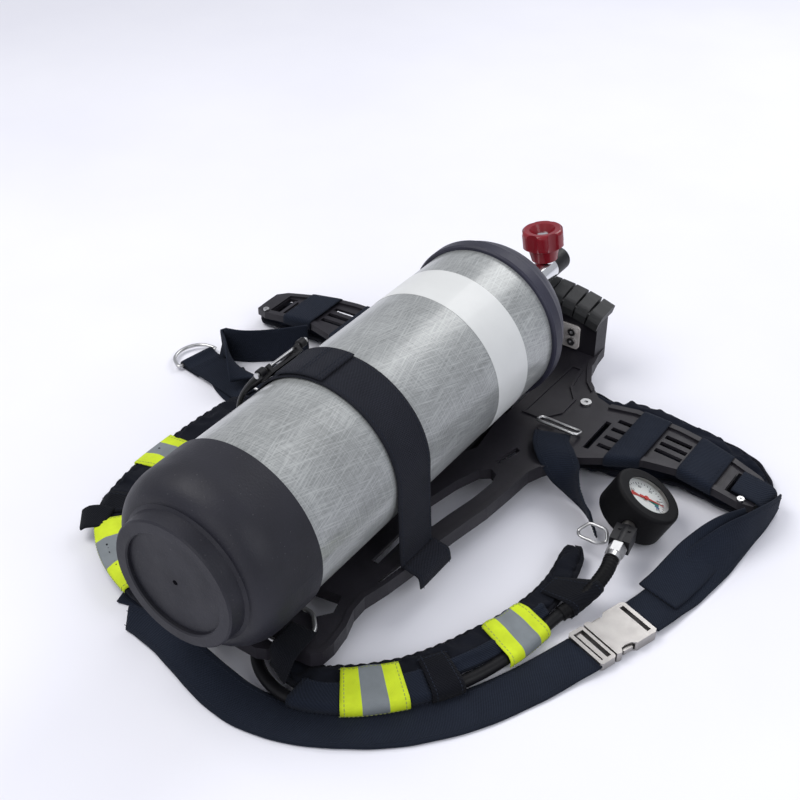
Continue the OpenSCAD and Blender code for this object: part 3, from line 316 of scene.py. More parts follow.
lens.bsdf.inputs["Transmission Weight"].default_value = 1.0
lens.bsdf.inputs["IOR"].default_value = 1.1
lens.base(lens.ramp(lens.noise(40), [(0.3, (0.96, 0.98, 0.98)), (0.7, (1.0, 1.0, 1.0))]))

# The record's material slot for each material that a modelled piece has
SLOTS = {name: slot for slot, names in (
    ("webbing", "navy_webbing dark_webbing band_webbing edge_tape thread"),
    ("pad_fabric", "pad_cloth quilt_cloth"), ("bright_patch", "bright_patch thread_pale"),
    ("steel", "steel_wire"), ("black_rubber", "hose_rubber black_rubber"),
    ("dial_face", "dial_ink dial_green dial_blue"), ("needle_red", "dial_red")) for name in names.split()}

# CAD pieces that show as they are
for material, names in (
        (m_wrap, "cylinder_wrap"), (m_liner, "cylinder_liner"), (m_label, "cylinder_label"), (m_boot, "boot"),
        (m_guard, "neck_guard"), (m_red, "handwheel"),
        (m_chrome, "handwheel_nut valve_body valve_spindle gland_nut"),
        (m_nickel, "supply_outlet outlet_sleeve gauge_case"),
        (m_nickel, "buckle_shell buckle_insert prong_near prong_far belt_slide_bar"),
        (m_bracket_painted_reflection, "reducer_bracket"), (m_steel, "bracket_screws wing_screws lever_pin hose_ferrule"),
        (m_plate, "backplate wing_left wing_right"),
        (m_black, "valve_end_cap coupling_nut reducer_body reducer_cap swivel_block band_frame band_lever"),
        (m_rubber, "outlet_seal gauge_cover"), (m_bumper, "bottom_bumper"), (m_dial, "gauge_dial"),
        (m_red_ink, "gauge_needle"), (lens.mat, "gauge_lens")):
    for name in names.split():
        nodes[name].data.materials.clear()
        nodes[name].data.materials.append(material)


# ---- modelling helpers ----

def new_mesh(name, verts, faces, outward=False):
    """Mesh from points and faces; outward turns every face to the outside."""
    mesh = bpy.data.meshes.new(name)
    mesh.from_pydata(verts, [], faces)
    if outward:
        bm = bmesh.new()
        bm.from_mesh(mesh)
        bmesh.ops.recalc_face_normals(bm, faces=bm.faces)
        bm.to_mesh(mesh)
        bm.free()
    return mesh


def ring_faces(rings, k, start=0, twist=None):
    """Faces of a tube of rings of k points: capped, or closed on itself with a twist at the join."""
    closed = twist is not None
    faces = []
    for i in range(rings if closed else rings - 1):
        m = (i + 1) % rings
        shift = twist if closed and m == 0 else 0
        for j in range(k):
            faces.append((start + i * k + j, start + i * k + (j + 1) % k,
                          start + m * k + (j + 1 + shift) % k, start + m * k + (j + shift) % k))
    if not closed:
        faces.append(tuple(start + j for j in range(k))[::-1])
        faces.append(tuple(start + (rings - 1) * k + j for j in range(k)))
    return faces


def link(name, mesh, material, body="pack", smooth=True):
    """New piece that rides on a body; its material must be one that has a slot in SLOTS."""
    obj = placed(name, mesh)
    mesh.materials.append(material)
    SLOTS[material.name.split(".")[0]]
    if smooth:
        for face in mesh.polygons:
            face.use_smooth = True
    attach(obj, body)
    return obj


def through(points, step, closed=False):
    """Catmull-Rom curve through the points (tuples of any length), sampled about every step."""
    n = len(points)
    out = []
    for i in range(n if closed else n - 1):
        a, b, c, d = (points[k % n if closed else min(max(k, 0), n - 1)] for k in range(i - 1, i + 3))
        gap = math.dist(b[:3], c[:3])
        parts = max(2, round(gap / step))
        for k in range(parts):
            t = k / parts
            out.append(tuple(0.5 * (2 * q + (r - p) * t + (2 * p - 5 * q + 4 * r - s) * t * t
                                    + (3 * q - p - 3 * r + s) * t ** 3) for p, q, r, s in zip(a, b, c, d)))
    if not closed:
        out.append(tuple(points[-1]))
    return out


def through_flat(points, step, closed=False):
    """The same for points in a plane."""
    return [q[:2] for q in through([(*q, 0.0) for q in points], step, closed)]


def beside(items, i, closed=False):
    """Items before and after one; an end of an open line is its own neighbour."""
    if closed:
        return items[i - 1], items[(i + 1) % len(items)]
    return items[max(i - 1, 0)], items[min(i + 1, len(items) - 1)]


def heading(path, i):
    """Direction, side and up at a point of an open path."""
    a, b = (Vector(q[:3]) for q in beside(path, i))
    h = (b - a).normalized()
    side = Z.cross(h).normalized()
    return h, side, h.cross(side)


def wobble(point, scale, amount, seed):
    return amount * noise.noise(Vector(point) * scale + Vector((seed, seed * 1.7, 0)))


def strip_between(name, left, right, thick, material, closed=False, across=10):
    """Flat tape between two edge lines: soft edges, a raised selvedge, UVs in metres."""
    n = len(left)
    middles = [(a + b) / 2 for a, b in zip(left, right)]
    rings, widths = [], []
    for i in range(n):
        p, q = beside(middles, i, closed)
        side = right[i] - left[i]
        up = side.cross(q - p)
        up = up.normalized() if up.length > 1e-9 else Z
        top, low = [], []
        for k in range(across + 1):
            s = -1 + 2 * k / across
            s = math.copysign(1 - (1 - abs(s)) ** 1.6, s)
            mid = middles[i] + side * s / 2
            selvedge = 0.12 * math.exp(-((abs(s) - 0.86) / 0.05) ** 2)
            half = thick / 2 * (1 - 0.55 * abs(s) ** 14 + selvedge)
            top.append(mid + up * half)
            low.append(mid - up * half)
        rings.append(top + low[::-1])
        widths.append(side.length)
    k = len(rings[0])
    faces = []
    for i in range(n if closed else n - 1):
        m = (i + 1) % n
        for j in range(k):
            j1 = (j + 1) % k
            faces.append((i * k + j, m * k + j, m * k + j1, i * k + j1))
    if not closed:
        o = (n - 1) * k
        for j in range(across):
            faces.append((j, j + 1, k - 2 - j, k - 1 - j))
            faces.append((o + j + 1, o + j, o + k - 1 - j, o + k - 2 - j))
    mesh = new_mesh(name, [v for r in rings for v in r], faces, outward=True)
    run = [0.0]
    for i in range(1, n + 1):
        run.append(run[-1] + (middles[i % n] - middles[i - 1]).length)
    uv = mesh.uv_layers.new(name="UVMap")
    for face in mesh.polygons:
        spots = [v // k for v in face.vertices]
        joining = closed and max(spots) == n - 1 and min(spots) == 0
        for loop in face.loop_indices:
            v = mesh.loops[loop].vertex_index
            i, j = v // k, v % k
            s = (j if j <= across else k - 1 - j) / across
            uv.data[loop].uv = (s * widths[i], run[n] if joining and i == 0 else run[i])
    return link(name, mesh, material)


def edges_of(route, sway=0.0, seed=1.0):
    """Edge lines of a strap on a route of (x, y, z, roll, width) in millimetres and degrees."""
    path = through([(*P(*r[:3]), math.radians(r[3]), r[4] / 1000) for r in route], 0.004)
    left, right = [], []
    for i, q in enumerate(path):
        _, side, up = heading(path, i)
        s = side * math.cos(q[3]) + up * math.sin(q[3])
        u = up * math.cos(q[3]) - side * math.sin(q[3])
        c = Vector(q[:3]) + u * wobble(q[:3], 22, sway, seed)
        left.append(c - s * (q[4] / 2 + wobble(q[:3], 45, 0.0006, seed + 5)))
        right.append(c + s * (q[4] / 2 + wobble(q[:3], 45, 0.0006, seed + 9)))
    return left, right


def tube(name, points, radius, material, body="pack", sides=20, closed=False, step=0.003, ripple=0.0,
         pitch=0.004):
    """Round wire, hose or cord on a smooth line; ripple is the share of the radius that its ribs take."""
    path = [Vector(p) for p in through([tuple(p) for p in points], step, closed)]
    n = len(path)
    verts = []
    ref = None
    run = 0.0
    for i, c in enumerate(path):
        a, b = beside(path, i, closed)
        h = (b - a).normalized()
        if ref is None:
            ref = h.orthogonal().normalized()
        ref = (ref - h * ref.dot(h)).normalized()
        other = h.cross(ref)
        run += (c - path[i - 1]).length if i else 0.0
        r = radius * (1 + ripple * math.sin(2 * math.pi * run / pitch))
        for k in range(sides):
            w = 2 * math.pi * k / sides
            verts.append(c + (ref * math.cos(w) + other * math.sin(w)) * r)
    twist = None
    if closed:
        twist = min(range(sides), key=lambda t: (verts[(n - 1) * sides] - verts[t]).length)
    return link(name, new_mesh(name, verts, ring_faces(n, sides, twist=twist)), material, body)


def stitches(name, lines, material=m_thread, pitch=0.0042, length=0.0028):
    """Short thread dashes laid along lines of (point, outward normal)."""
    r = 0.00034
    verts, faces = [], []
    for line in lines:
        run = 0.0
        for i in range(1, len(line)):
            p, q = line[i - 1][0], line[i][0]
            gap = (q - p).length
            if gap < 1e-6:
                continue
            while run <= gap:
                c = p + (q - p) * (run / gap) + line[i][1] * r * 0.5
                d = (q - p) / gap
                up = line[i][1]
                side = d.cross(up).normalized()
                faces += ring_faces(4, 4, start=len(verts))
                for along, lift in ((-0.5, -0.4), (-0.25, 1), (0.25, 1), (0.5, -0.4)):
                    base = c + d * along * length
                    verts += [base - side * r, base + up * r * lift, base + side * r, base - up * r]
                run += pitch
            run -= gap
    if verts:
        link(name, new_mesh(name, verts, faces), material)


def stitch_rows(name, left, right, thick, at, both_sides=False):
    """Stitch lines that keep a distance at (metres) from each edge of a strap."""
    lines = []
    for near, far in ((left, right), (right, left)):
        line = []
        for i in range(len(left)):
            side = (far[i] - near[i]).normalized()
            j = min(i + 1, len(left) - 1)
            up = (right[i] - left[i]).cross(near[j] - near[j - 1]).normalized()
            line.append((near[i] + side * at + up * thick / 2, up))
        lines.append(line)
        if both_sides:
            lines.append([(p - u * thick, -u) for p, u in line])
    stitches(name, lines)


# ---- padded pieces ----

def settle(obj):
    """Applies what the modifiers make and clears them."""
    graph = bpy.context.evaluated_depsgraph_get()
    graph.update()
    made = bpy.data.meshes.new_from_object(obj.evaluated_get(graph))
    old = obj.data
    obj.modifiers.clear()
    obj.data = made
    made.name = obj.name
    bpy.data.meshes.remove(old)
    return obj


def remeshed(name, verts, faces, voxel):
    """Even mesh of the closed form, ready to swell."""
    obj = placed(name, new_mesh(name, verts, faces, outward=True))
    mod = obj.modifiers.new("voxels", "REMESH")
    mod.mode = "VOXEL"
    mod.voxel_size = voxel
    return settle(obj)


def inflate(obj, pinned, cap, spare=0.12):
    """Cloth swells the piece from its sewn lines; no point moves further than cap."""
    steps = 20
    rest = [v.co.copy() for v in obj.data.vertices]
    group = obj.vertex_groups.new(name="sewn")
    for i, v in enumerate(obj.data.vertices):
        w = pinned(v.co)
        if w > 0.02:
            group.add([i], w, "REPLACE")
    mod = obj.modifiers.new("cloth", "CLOTH")
    for key, value in (
            ("quality", 5), ("mass", 0.25), ("tension_stiffness", 14), ("compression_stiffness", 14),
            ("shear_stiffness", 6), ("bending_stiffness", 0.6), ("use_pressure", True),
            ("uniform_pressure_force", 4.0), ("shrink_min", -spare), ("vertex_group_mass", "sewn")):
        setattr(mod.settings, key, value)
    mod.settings.effector_weights.gravity = 0
    mod.collision_settings.use_self_collision = False
    mod.point_cache.frame_start = 1
    mod.point_cache.frame_end = steps
    for f in range(1, steps + 1):
        bpy.context.scene.frame_set(f)
    graph = bpy.context.evaluated_depsgraph_get()
    moved = [v.co.copy() for v in obj.evaluated_get(graph).data.vertices]
    obj.modifiers.clear()
    for v, a, b in zip(obj.data.vertices, rest, moved):
        d = b - a
        v.co = a + (d if d.length <= cap else d * (cap / d.length))
    bpy.context.scene.frame_set(1)
    mod = obj.modifiers.new("smooth", "SUBSURF")
    mod.levels = 1
    mod.render_levels = 1
    return settle(obj)


def finish_pad(obj, material, node):
    obj.data.materials.clear()
    obj.data.materials.append(material)
    for f in obj.data.polygons:
        f.use_smooth = True
    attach(obj, "pack")
    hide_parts(node)


class Route:
    """Middle line of a pad through knots of (x, y, z, width, thickness) in millimetres."""

    def __init__(self, knots):
        self.knots = knots
        self.path = through([(*P(*r[:3]), r[3] / 1000, r[4] / 1000) for r in knots], 0.003)
        self.tree = kdtree.KDTree(len(self.path))
        for i, q in enumerate(self.path):
            self.tree.insert(q[:3], i)
        self.tree.balance()
        self.run = [0.0]
        for a, b in zip(self.path, self.path[1:]):
            self.run.append(self.run[-1] + math.dist(a[:3], b[:3]))

    def frame(self, i):
        """Place, heading, side and up at the path's point i."""
        return Vector(self.path[i][:3]), *heading(self.path, i)

    def place(self, point):
        """A point's distance along, distance to the side, and the pad's width there."""
        i = self.tree.find(point)[1]
        c, h, side, _ = self.frame(i)
        d = point - c
        return self.run[i] + d.dot(h), d.dot(side), self.path[i][3]

    def at(self, knot):
        """Distance along to a knot, which may lie between two."""
        whole = int(knot)
        a, b = (self.run[self.tree.find(P(*self.knots[k][:3]))[1]] for k in (whole, whole + 1))
        return a + (b - a) * (knot - whole)


GATHER = 0.0105     # metres from one gather of a shoulder pad's seam to the next


def tip_factor(rest):
    """Share of a shoulder pad's width left, rounding its far end over the last 14 mm."""
    return min(1, 0.3 + 0.7 * math.sqrt(max(rest, 0) / 0.014))


def shoulder_pad(node, knots, seed):
    """Stuffed strap: lens-shaped section, sewn flat at both edges, gathered along the seams."""
    name = node + "_stuffed"
    line = Route(knots)
    verts = []
    k = 20
    n = len(line.path)
    total = line.run[-1]
    for i in range(n):
        c, h, side, up = line.frame(i)
        w, t = line.path[i][3] - 0.006, line.path[i][4] - 0.005
        end = min(1, 0.35 + min(line.run[i], total - line.run[i]) / 0.02)
        w *= tip_factor(total - line.run[i])
        for j in range(k):
            a = 2 * math.pi * j / k
            u = math.copysign(abs(math.cos(a)) ** 0.75, math.cos(a)) * w / 2
            v = math.copysign(abs(math.sin(a)) ** 0.8, math.sin(a)) * t / 2 * end
            verts.append(c + side * u + up * v)
    obj = remeshed(name, verts, ring_faces(n, k), 0.0042)

    def sewn(p):
        _, u, w = line.place(p)
        return max(0.0, min(1.0, (abs(u) / (w / 2 - 0.003) - 0.84) / 0.1))

    inflate(obj, sewn, 0.0035)
    for p in obj.data.vertices:
        run, u, w = line.place(p.co)
        depth = (w / 2 - abs(u)) / 0.012
        if depth < 1.6:
            c, h, side, up = line.frame(line.tree.find(p.co)[1])
            phase = 2.2 * noise.noise(p.co * 60) + (1.3 if u > 0 else 0)
            gather = math.sin(run * 2 * math.pi / GATHER + phase)
            fade = math.exp(-(depth - 0.55) ** 2 / 0.18)
            p.co += up * math.copysign(0.0011 * gather * fade, (p.co - c).dot(up))
        p.co += Z * wobble(p.co, 55, 0.0007, seed)
    finish_pad(obj, m_pad, node)
    # Edge tape folded over each side seam, rippled by the gathers
    for sign, letter in ((-1, "a"), (1, "b")):
        inner, outer = [], []
        for i in range(n):
            c, h, side, up = line.frame(i)
            run = line.run[i]
            if total - run < 0.0015:
                break
            ripple = 0.0009 * math.sin(run * 2 * math.pi / GATHER + 0.8 * sign)
            ripple += wobble(c, 60, 0.0008, seed + sign)
            half = (line.path[i][3] / 2 - 0.0022) * tip_factor(total - run)
            middle = c + side * sign * max(half, 0.0039) + up * ripple
            inner.append(middle - side * sign * 0.0038)
            outer.append(middle + side * sign * 0.0022)
        strip_between(f"{name}_edge_tape_{letter}", inner, outer, 0.0034, m_piping, across=6)
        stitches(f"{name}_edge_thread_{letter}", [[(a + Z * 0.0019, Z) for a in inner]])
    return obj, line


def wrap_on(name, pad, first, last, span, material, lift, thick, thread, over):
    """Cover sewn round part of a pad, between two distances along it and two angles round it.

    over is the radius of the hose that it also goes round, or None.
    """
    target, line = pad
    across = 22
    picked = [i for i, run in enumerate(line.run) if first <= run <= last]
    rows, middles = [], []
    for i in picked:
        c, h, side, up = line.frame(i)
        w, t = line.path[i][3] / 2, line.path[i][4] / 2
        if over:
            near = min(near_hose, key=lambda q: abs((q - c).dot(h)) + 0.2 * (q - c).length) - c
            near -= h * near.dot(h)
        row = []
        for k in range(across + 1):
            a = math.radians(span[0] + (span[1] - span[0]) * k / across)
            d = (side * math.cos(a) * w + up * math.sin(a) * t).normalized()
            hit, place, _, _ = target.ray_cast(c + d * 0.05, -d)
            reach = ((place - c).length if hit else w) + lift
            across_part, up_part = max(abs(d.dot(side)), 1e-4), max(abs(d.dot(up)), 1e-4)
            reach = max(reach, min((w + 0.0012) / across_part, 0.0032 / up_part))
            if over:
                b = d.dot(near)
                rest = b * b - near.length_squared + (over + lift) ** 2
                if b > 0 and rest > 0:
                    reach = max(reach, b + math.sqrt(rest))
            row.append(c + d * reach)
        for _ in range(120 if over else 12):
            for k in range(1, across):
                m = (row[k - 1] + row[k + 1]) / 2
                if (m - c).length > (row[k] - c).length:
                    row[k] = m
        rows.append(row)
        middles.append(c)
    n = len(rows)
    # Pulled tight along the pad, then smoothed
    for turn in range(5):
        for i in range(1, n - 1):
            for k in range(across + 1):
                m = (rows[i - 1][k] + rows[i + 1][k]) / 2
                if turn > 2:
                    rows[i][k] = (rows[i][k] + m) / 2
                elif (m - middles[i]).length > (rows[i][k] - middles[i]).length:
                    rows[i][k] = m
    k1 = across + 1
    verts, low = [], []
    for row, c in zip(rows, middles):
        for p in row:
            inner = p - (p - c).normalized() * thick
            p.z = max(p.z, 0.0016)
            inner.z = max(inner.z, 0.0006)
            verts.append(p)
            low.append(inner)
    o = n * k1
    faces = []
    for i in range(n - 1):
        for k in range(across):
            a, b, c, d = i * k1 + k, i * k1 + k + 1, (i + 1) * k1 + k + 1, (i + 1) * k1 + k
            faces += [(a, b, c, d), (o + d, o + c, o + b, o + a)]
        for k in (0, across):
            a, b = i * k1 + k, (i + 1) * k1 + k
            faces.append((a, b, o + b, o + a) if k == 0 else (b, a, o + a, o + b))
    for k in range(across):
        faces.append((k + 1, k, o + k, o + k + 1))
        a = (n - 1) * k1 + k
        faces.append((a, a + 1, o + a + 1, o + a))
    mesh = new_mesh(name, verts + low, faces, outward=True)
    uv = mesh.uv_layers.new(name="UVMap")
    part = mesh.uv_layers.new(name="part")
    reach = [sum((row[k + 1] - row[k]).length for k in range(across)) for row in rows]
    for face in mesh.polygons:
        for loop in face.loop_indices:
            v = mesh.loops[loop].vertex_index % o
            i, k = v // k1, v % k1
            run = line.run[picked[i]] - first
            uv.data[loop].uv = (k / across * reach[i], run)
            part.data[loop].uv = (run / (last - first), k / across)
    obj = link(name, mesh, material)
    lines = [[(row[k], (row[k] - c).normalized()) for row, c in zip(rows, middles)] for k in (1, across - 1)]
    lines += [[(p, (p - middles[i]).normalized()) for p in rows[i]] for i in (1, n - 2)]
    stitches(name + "_thread", lines, thread, pitch=0.0036, length=0.0023)
    return obj


HOSE = [
    (8, 525.4, -69), (9, 514, -70), (12, 503, -73), (18, 490, -78), (25, 474, -86), (29, 458, -93),
    (31, 438, -97.5), (31, 410, -99.5), (31, 370, -99.8), (31, 320, -99.8), (31, 270, -99.8),
    (31, 220, -99.8), (28, 170, -100), (22, 130, -101), (16, 104, -104), (16, 84, -107), (22, 66, -109),
    (33, 52, -109.2), (48, 42, -109.2), (68, 36, -109.2), (88, 37, -109.2), (108, 46, -109.2),
    (128, 59, -109.2), (147, 77, -109.2), (165, 98, -109.2), (181, 121, -109.2), (192, 144, -109.2),
    (200, 168, -109.2), (206, 192, -109.2), (209.5, 216, -108.6), (212.8, 234, -107.3)]
SLEEVE = [
    (227.4, 303.3, -86), (229.3, 294, -87.5), (229, 282, -91), (226, 268, -97), (220, 254, -103),
    (214.5, 240, -106.5)]
# The hose and its sleeve where they run beside the right pad
near_hose = [Vector(q) for q in through([tuple(P(*q)) for q in HOSE[18:] + SLEEVE[:0:-1]], 0.002)]
right_pad = shoulder_pad("shoulder_pad_right", [
    (60, 84, -109, 30, 14), (59, 68, -109, 30, 14), (74, 62, -109, 32, 15), (90, 63, -108, 33, 17),
    (103, 70, -107.5, 35, 18), (117, 81, -107, 34, 19), (132, 96, -107, 34, 20), (146, 113, -107, 34, 20),
    (158, 132, -107, 34, 20), (169, 154, -107, 35, 20), (178, 176, -107, 35, 20), (185, 198, -106.5, 31, 20),
    (190, 222, -106, 28, 20), (194, 248, -106, 26, 20), (194, 276, -106, 25, 19), (189, 304, -106, 23, 18),
    (183, 322, -105, 20, 15)], 3.1)
left_pad = shoulder_pad("shoulder_pad_left", [
    (-60, 84, -109, 30, 14), (-59, 68, -109, 30, 14), (-76, 60, -107, 36, 15), (-97, 62, -107, 38, 14.2),
    (-118, 68, -103, 42, 19), (-140, 78, -103, 44, 20), (-162, 92, -103, 44, 20), (-182, 112, -103, 44, 20),
    (-196, 138, -103, 42, 20), (-203, 168, -103, 40, 20), (-205, 200, -103, 40, 20),
    (-206, 234, -103, 38, 20), (-206, 268, -103, 36, 20), (-204, 300, -103, 32, 19),
    (-199, 326, -103, 26, 16)], 7.7)

# Material, thickness and thread of each kind of cover
COVERS = {"pad": (m_web, 0.0014, m_thread), "patch": (m_patch, 0.0011, m_thread_pale),
          "keeper": (m_web_dark, 0.0015, m_thread)}
HOSE_R, SLEEVE_R = 0.0058, 0.0072
# Covers: start and end as a knot and metres past it, angles, lift, radius that it goes round, node
for name, (knot_a, past_a), (knot_b, past_b), span, lift, over, node in (
        ("pad_right_webbing_low", (2.2, 0), (7.4, 0), (116, 206), 0.0012, HOSE_R, None),
        ("pad_right_webbing_high", (7.4, 0), (12.6, 0), (116, 184), 0.0012, None, None),
        ("patch_right_low", (4.1, 0), (6.6, 0), (72, 204), 0.003, HOSE_R, "patches_right"),
        ("patch_right_high", (10.1, 0), (12.1, 0), (62, 200), 0.003, HOSE_R, None),
        ("patch_left_low", (4, -0.014), (6, 0.022), (-12, 192), 0.0009, None, "patches_left"),
        ("patch_left_high", (9, 0.008), (11, -0.004), (-12, 192), 0.0009, None, None),
        ("keeper_right_low", (7.2, 0), (8.4, 0), (84, 212), 0.003, HOSE_R, "hose_keepers"),
        ("keeper_right_high", (12.9, 0), (13.9, 0), (60, 200), 0.0016, SLEEVE_R, None),
        ("keeper_left", (7, 0), (8, -0.004), (-10, 195), 0.0018, None, None)):
    pad = right_pad if "right" in name else left_pad
    material, thick, thread = COVERS[name.split("_")[0]]
    first, last = pad[1].at(knot_a) + past_a, pad[1].at(knot_b) + past_b
    wrap = wrap_on(name, pad, first, last, span, material, lift, thick, thread, over)
    if node:
        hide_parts(node)
# ---- hip pads ----

def wing_top(x):
    """Height of a hip wing's upper face."""
    return -83.5 - 13 * max(0, (abs(x) - 150) / 150) ** 2


def pad_top(x):
    """Height that a hip pad may reach: lower where it lies under the backplate."""
    return -101 if abs(x) < 124 else wing_top(x) - 9.6


def segment_distance(x, y, a, b):
    (x0, y0), (x1, y1) = a, b
    dx, dy = x1 - x0, y1 - y0
    t = max(0, min(1, ((x - x0) * dx + (y - y0) * dy) / (dx * dx + dy * dy)))
    return math.hypot(x - x0 - t * dx, y - y0 - t * dy)


def boundary_distance(x, y, outline):
    """Distance to a closed outline, negative outside it."""
    best, inside = 1e9, False
    for a, b in zip(outline, outline[1:] + outline[:1]):
        best = min(best, segment_distance(x, y, a, b))
        if (a[1] > y) != (b[1] > y) and x < (b[0] - a[0]) * (y - a[1]) / (b[1] - a[1]) + a[0]:
            inside = not inside
    return best if inside else -best


def hip_pad(node, outline, channels, seed, sign):
    """Quilted foam pad: sewn at its rim and along its channels."""
    name = node + "_quilted"
    low, high = -117.2, -101.0
    seam = 0.42     # height of the rim's seam, as a share of the pad's
    outline = [(sign * x, y) for x, y in outline]
    channels = [((sign * x0, y0), (sign * x1, y1)) for (x0, y0), (x1, y1) in channels]
    centre = (sum(x for x, _ in outline) / len(outline), sum(y for _, y in outline) / len(outline))
    rim = through_flat(outline, 9.0, closed=True)

    def shrunk(d):
        out = []
        for x, y in rim:
            r = math.hypot(x - centre[0], y - centre[1])
            out.append((x - (x - centre[0]) / r * d, y - (y - centre[1]) / r * d))
        return out

    def flat(p):
        return p.x * 1000 - ORIGIN[0], p.y * 1000 - ORIGIN[1]

    inner = shrunk(4.0)
    verts = [Vector((x / 1000, y / 1000, z / 1000)) for z in (low, high) for x, y in inner]
    obj = remeshed(name, verts, ring_faces(2, len(inner)), 0.005)
    for v in obj.data.vertices:
        x, y, z = v.co * 1000
        d = boundary_distance(x, y, inner)
        f = min(1, max(0, (z - low) / (high - low)))
        crown = 1 - 0.62 * math.exp(-max(d, 0) / 5.0)
        top = pad_top(x) - 2.2
        mid = low + (top - low) * seam
        z = mid + ((low + (top - low) * f) - mid) * (crown if f > seam else 1 - (1 - crown) * 0.8)
        v.co = P(x, y, z)

    def sewn(p):
        return max(0.0, min(1.0, 1 - (boundary_distance(*flat(p), inner) - 1) / 4))

    inflate(obj, sewn, 0.0026, spare=0.1)
    for v in obj.data.vertices:
        x, y = flat(v.co)
        d = boundary_distance(x, y, inner)
        if v.co.z > P(0, 0, -110).z:
            angle = math.atan2(y - centre[1], (x - centre[0]) * 0.55)
            gather = math.sin(angle * 46 + 3 * noise.noise(v.co * 40))
            v.co.z += 0.0012 * gather * math.exp(-((d - 4) / 4.5) ** 2) - 0.0004
            c = min(segment_distance(x, y, *channel) for channel in channels)
            v.co.z -= 0.0032 * math.exp(-(c / 3.0) ** 2)
            v.co.z += 0.0006 * math.sin((x + y) / 2.1) * math.exp(-((c - 4.5) / 3.0) ** 2)
        v.co.z += wobble(v.co, 30, 0.0005, seed)
        v.co.z = max(v.co.z, 0.0003)
    finish_pad(obj, m_quilt, node)
    piping = []
    for i, (x, y) in enumerate(shrunk(2.6)):
        q = P(x, y, low + (pad_top(rim[i][0]) - low) * seam)
        piping.append(q + Z * (0.0007 * math.sin(i * 1.9) + wobble(q, 45, 0.001, seed)))
    tube(name + "_piping", piping, 0.0021, m_piping, closed=True, sides=10, step=0.004)
    lines = []
    for (x0, y0), (x1, y1) in channels:
        line = []
        for i in range(25):
            p = P(x0 + (x1 - x0) * i / 24, y0 + (y1 - y0) * i / 24, -100)
            hit, place, _, _ = obj.ray_cast(Vector((p.x, p.y, p.z + 0.06)), -Z)
            if hit:
                line.append((place + Z * 0.0001, Z))
        lines.append(line)
    stitches(name + "_channel_thread", lines, pitch=0.005, length=0.0034)


PAD_NEAR = [(62, 424), (100, 420), (130, 428), (180, 441), (222, 456), (262, 455), (298, 456), (306, 470),
            (305, 486)]
PAD_FAR_RIGHT = [(299, 510), (283, 530), (259, 543), (201, 550), (145, 550), (110, 544), (62, 536)]
PAD_FAR_LEFT = [(298, 500), (283, 506), (259, 510), (201, 515), (145, 515), (110, 512), (62, 506)]
hip_pad("hip_pad_right", PAD_NEAR + PAD_FAR_RIGHT,
        (((140, 523), (285, 518)), ((140, 523), (135, 440)), ((285, 518), (292, 466))), 2.2, 1)
hip_pad("hip_pad_left", PAD_NEAR + PAD_FAR_LEFT, (((140, 500), (285, 492)),), 5.2, -1)

# ---- straps and belts ----

PULL_RIGHT = [
    (99, 425, -78.5, 0, 36), (104, 413, -78.5, 1, 36), (114, 402, -79.5, 6, 36), (127, 392, -83, 34, 34),
    (142, 385, -92, 78, 36), (156, 377, -96.8, 100, 38), (168, 367, -97.4, 108, 38),
    (178, 357, -97.2, 110, 38), (187, 348.5, -97, 106, 36)]
PULL_LEFT = [
    (-99, 425, -78.5, 0, 36), (-104, 413, -78.5, -1, 36), (-114, 402, -79.5, -3, 36),
    (-128, 391, -82.4, -18, 34), (-145, 388, -92, -48, 36), (-164, 381, -96, -62, 36),
    (-182, 371, -97, -70, 36), (-198, 355, -97, -70, 34)]
BELT_RIGHT_TOP = [
    (274, 472, wing_top(274) + 4.6, 0, 33), (290, 472, wing_top(290) + 4.6, 0, 33),
    (302, 472, wing_top(300) + 3.6, 0, 34), (307.6, 472, wing_top(300) - 1.5, 0, 34),
    (309, 472, wing_top(300) - 9, 0, 34)]
BELT_RIGHT = [
    (312.5, 486, -107, -90, 20), (313, 470, -103.6, -90, 27), (312, 448, -99.4, -87, 35),
    (307, 420, -97.4, -78, 40), (300, 392, -99, -58, 41), (291, 362, -105, -32, 41),
    (284, 332, -111.5, -12, 41), (277, 304, -112.5, -2, 41), (271, 281, -112.5, 0, 41)]
BELT_RIGHT_TAIL = [
    (303, 426, -93.5, -74, 34), (293, 396, -94, -54, 39), (284, 366, -99.6, -30, 40),
    (277.5, 336, -106.6, -12, 40), (272, 310, -109.2, -2, 40)]
BELT_NEAR = [
    (-88, 24, -107, 60, 22), (-72, 26, -106, 50, 26), (-44, 24, -106, 42, 30), (-10, 18, -108, 30, 34),
    (28, 12, -112, 12, 38), (60, 13, -115.4, 1, 41), (95, 22, -116, 0, 41), (130, 40, -116, 0, 41),
    (162, 64, -116, 0, 41), (188, 92, -116, 0, 41), (208, 122, -116, 0, 41), (226, 158, -116, 0, 41),
    (240, 192, -115, 0, 41), (249.4, 213.5, -113, 0, 41), (251, 218.5, -112.6, 0, 41)]
BELT_FAR = [
    (-212, 434, -96.8, -84, 41), (-232, 413, -96.8, -88, 41), (-252, 396, -96.8, -90, 41),
    (-268, 385.5, -97, -90, 41), (-283, 380, -97, -90, 41), (-287, 377.6, -96.6, -90, 36),
    (-283.6, 375.4, -95.6, -90, 30), (-272, 368, -95.6, -84, 30), (-258, 359, -95.6, -66, 30),
    (-244, 352, -98.8, -40, 32), (-230, 346, -103, -14, 36)]
BELT_UNDER = [
    (-268, 358, -116, 0, 41), (-240, 342, -116, 0, 41), (-205, 330, -116, 0, 41), (-172, 306, -116, 0, 41),
    (-152, 268, -116, 0, 41), (-144, 220, -116, 0, 41), (-136, 170, -116, 0, 41), (-122, 120, -116, 0, 41),
    (-106, 76, -116, 0, 41), (-97, 44, -116, 0, 41)]
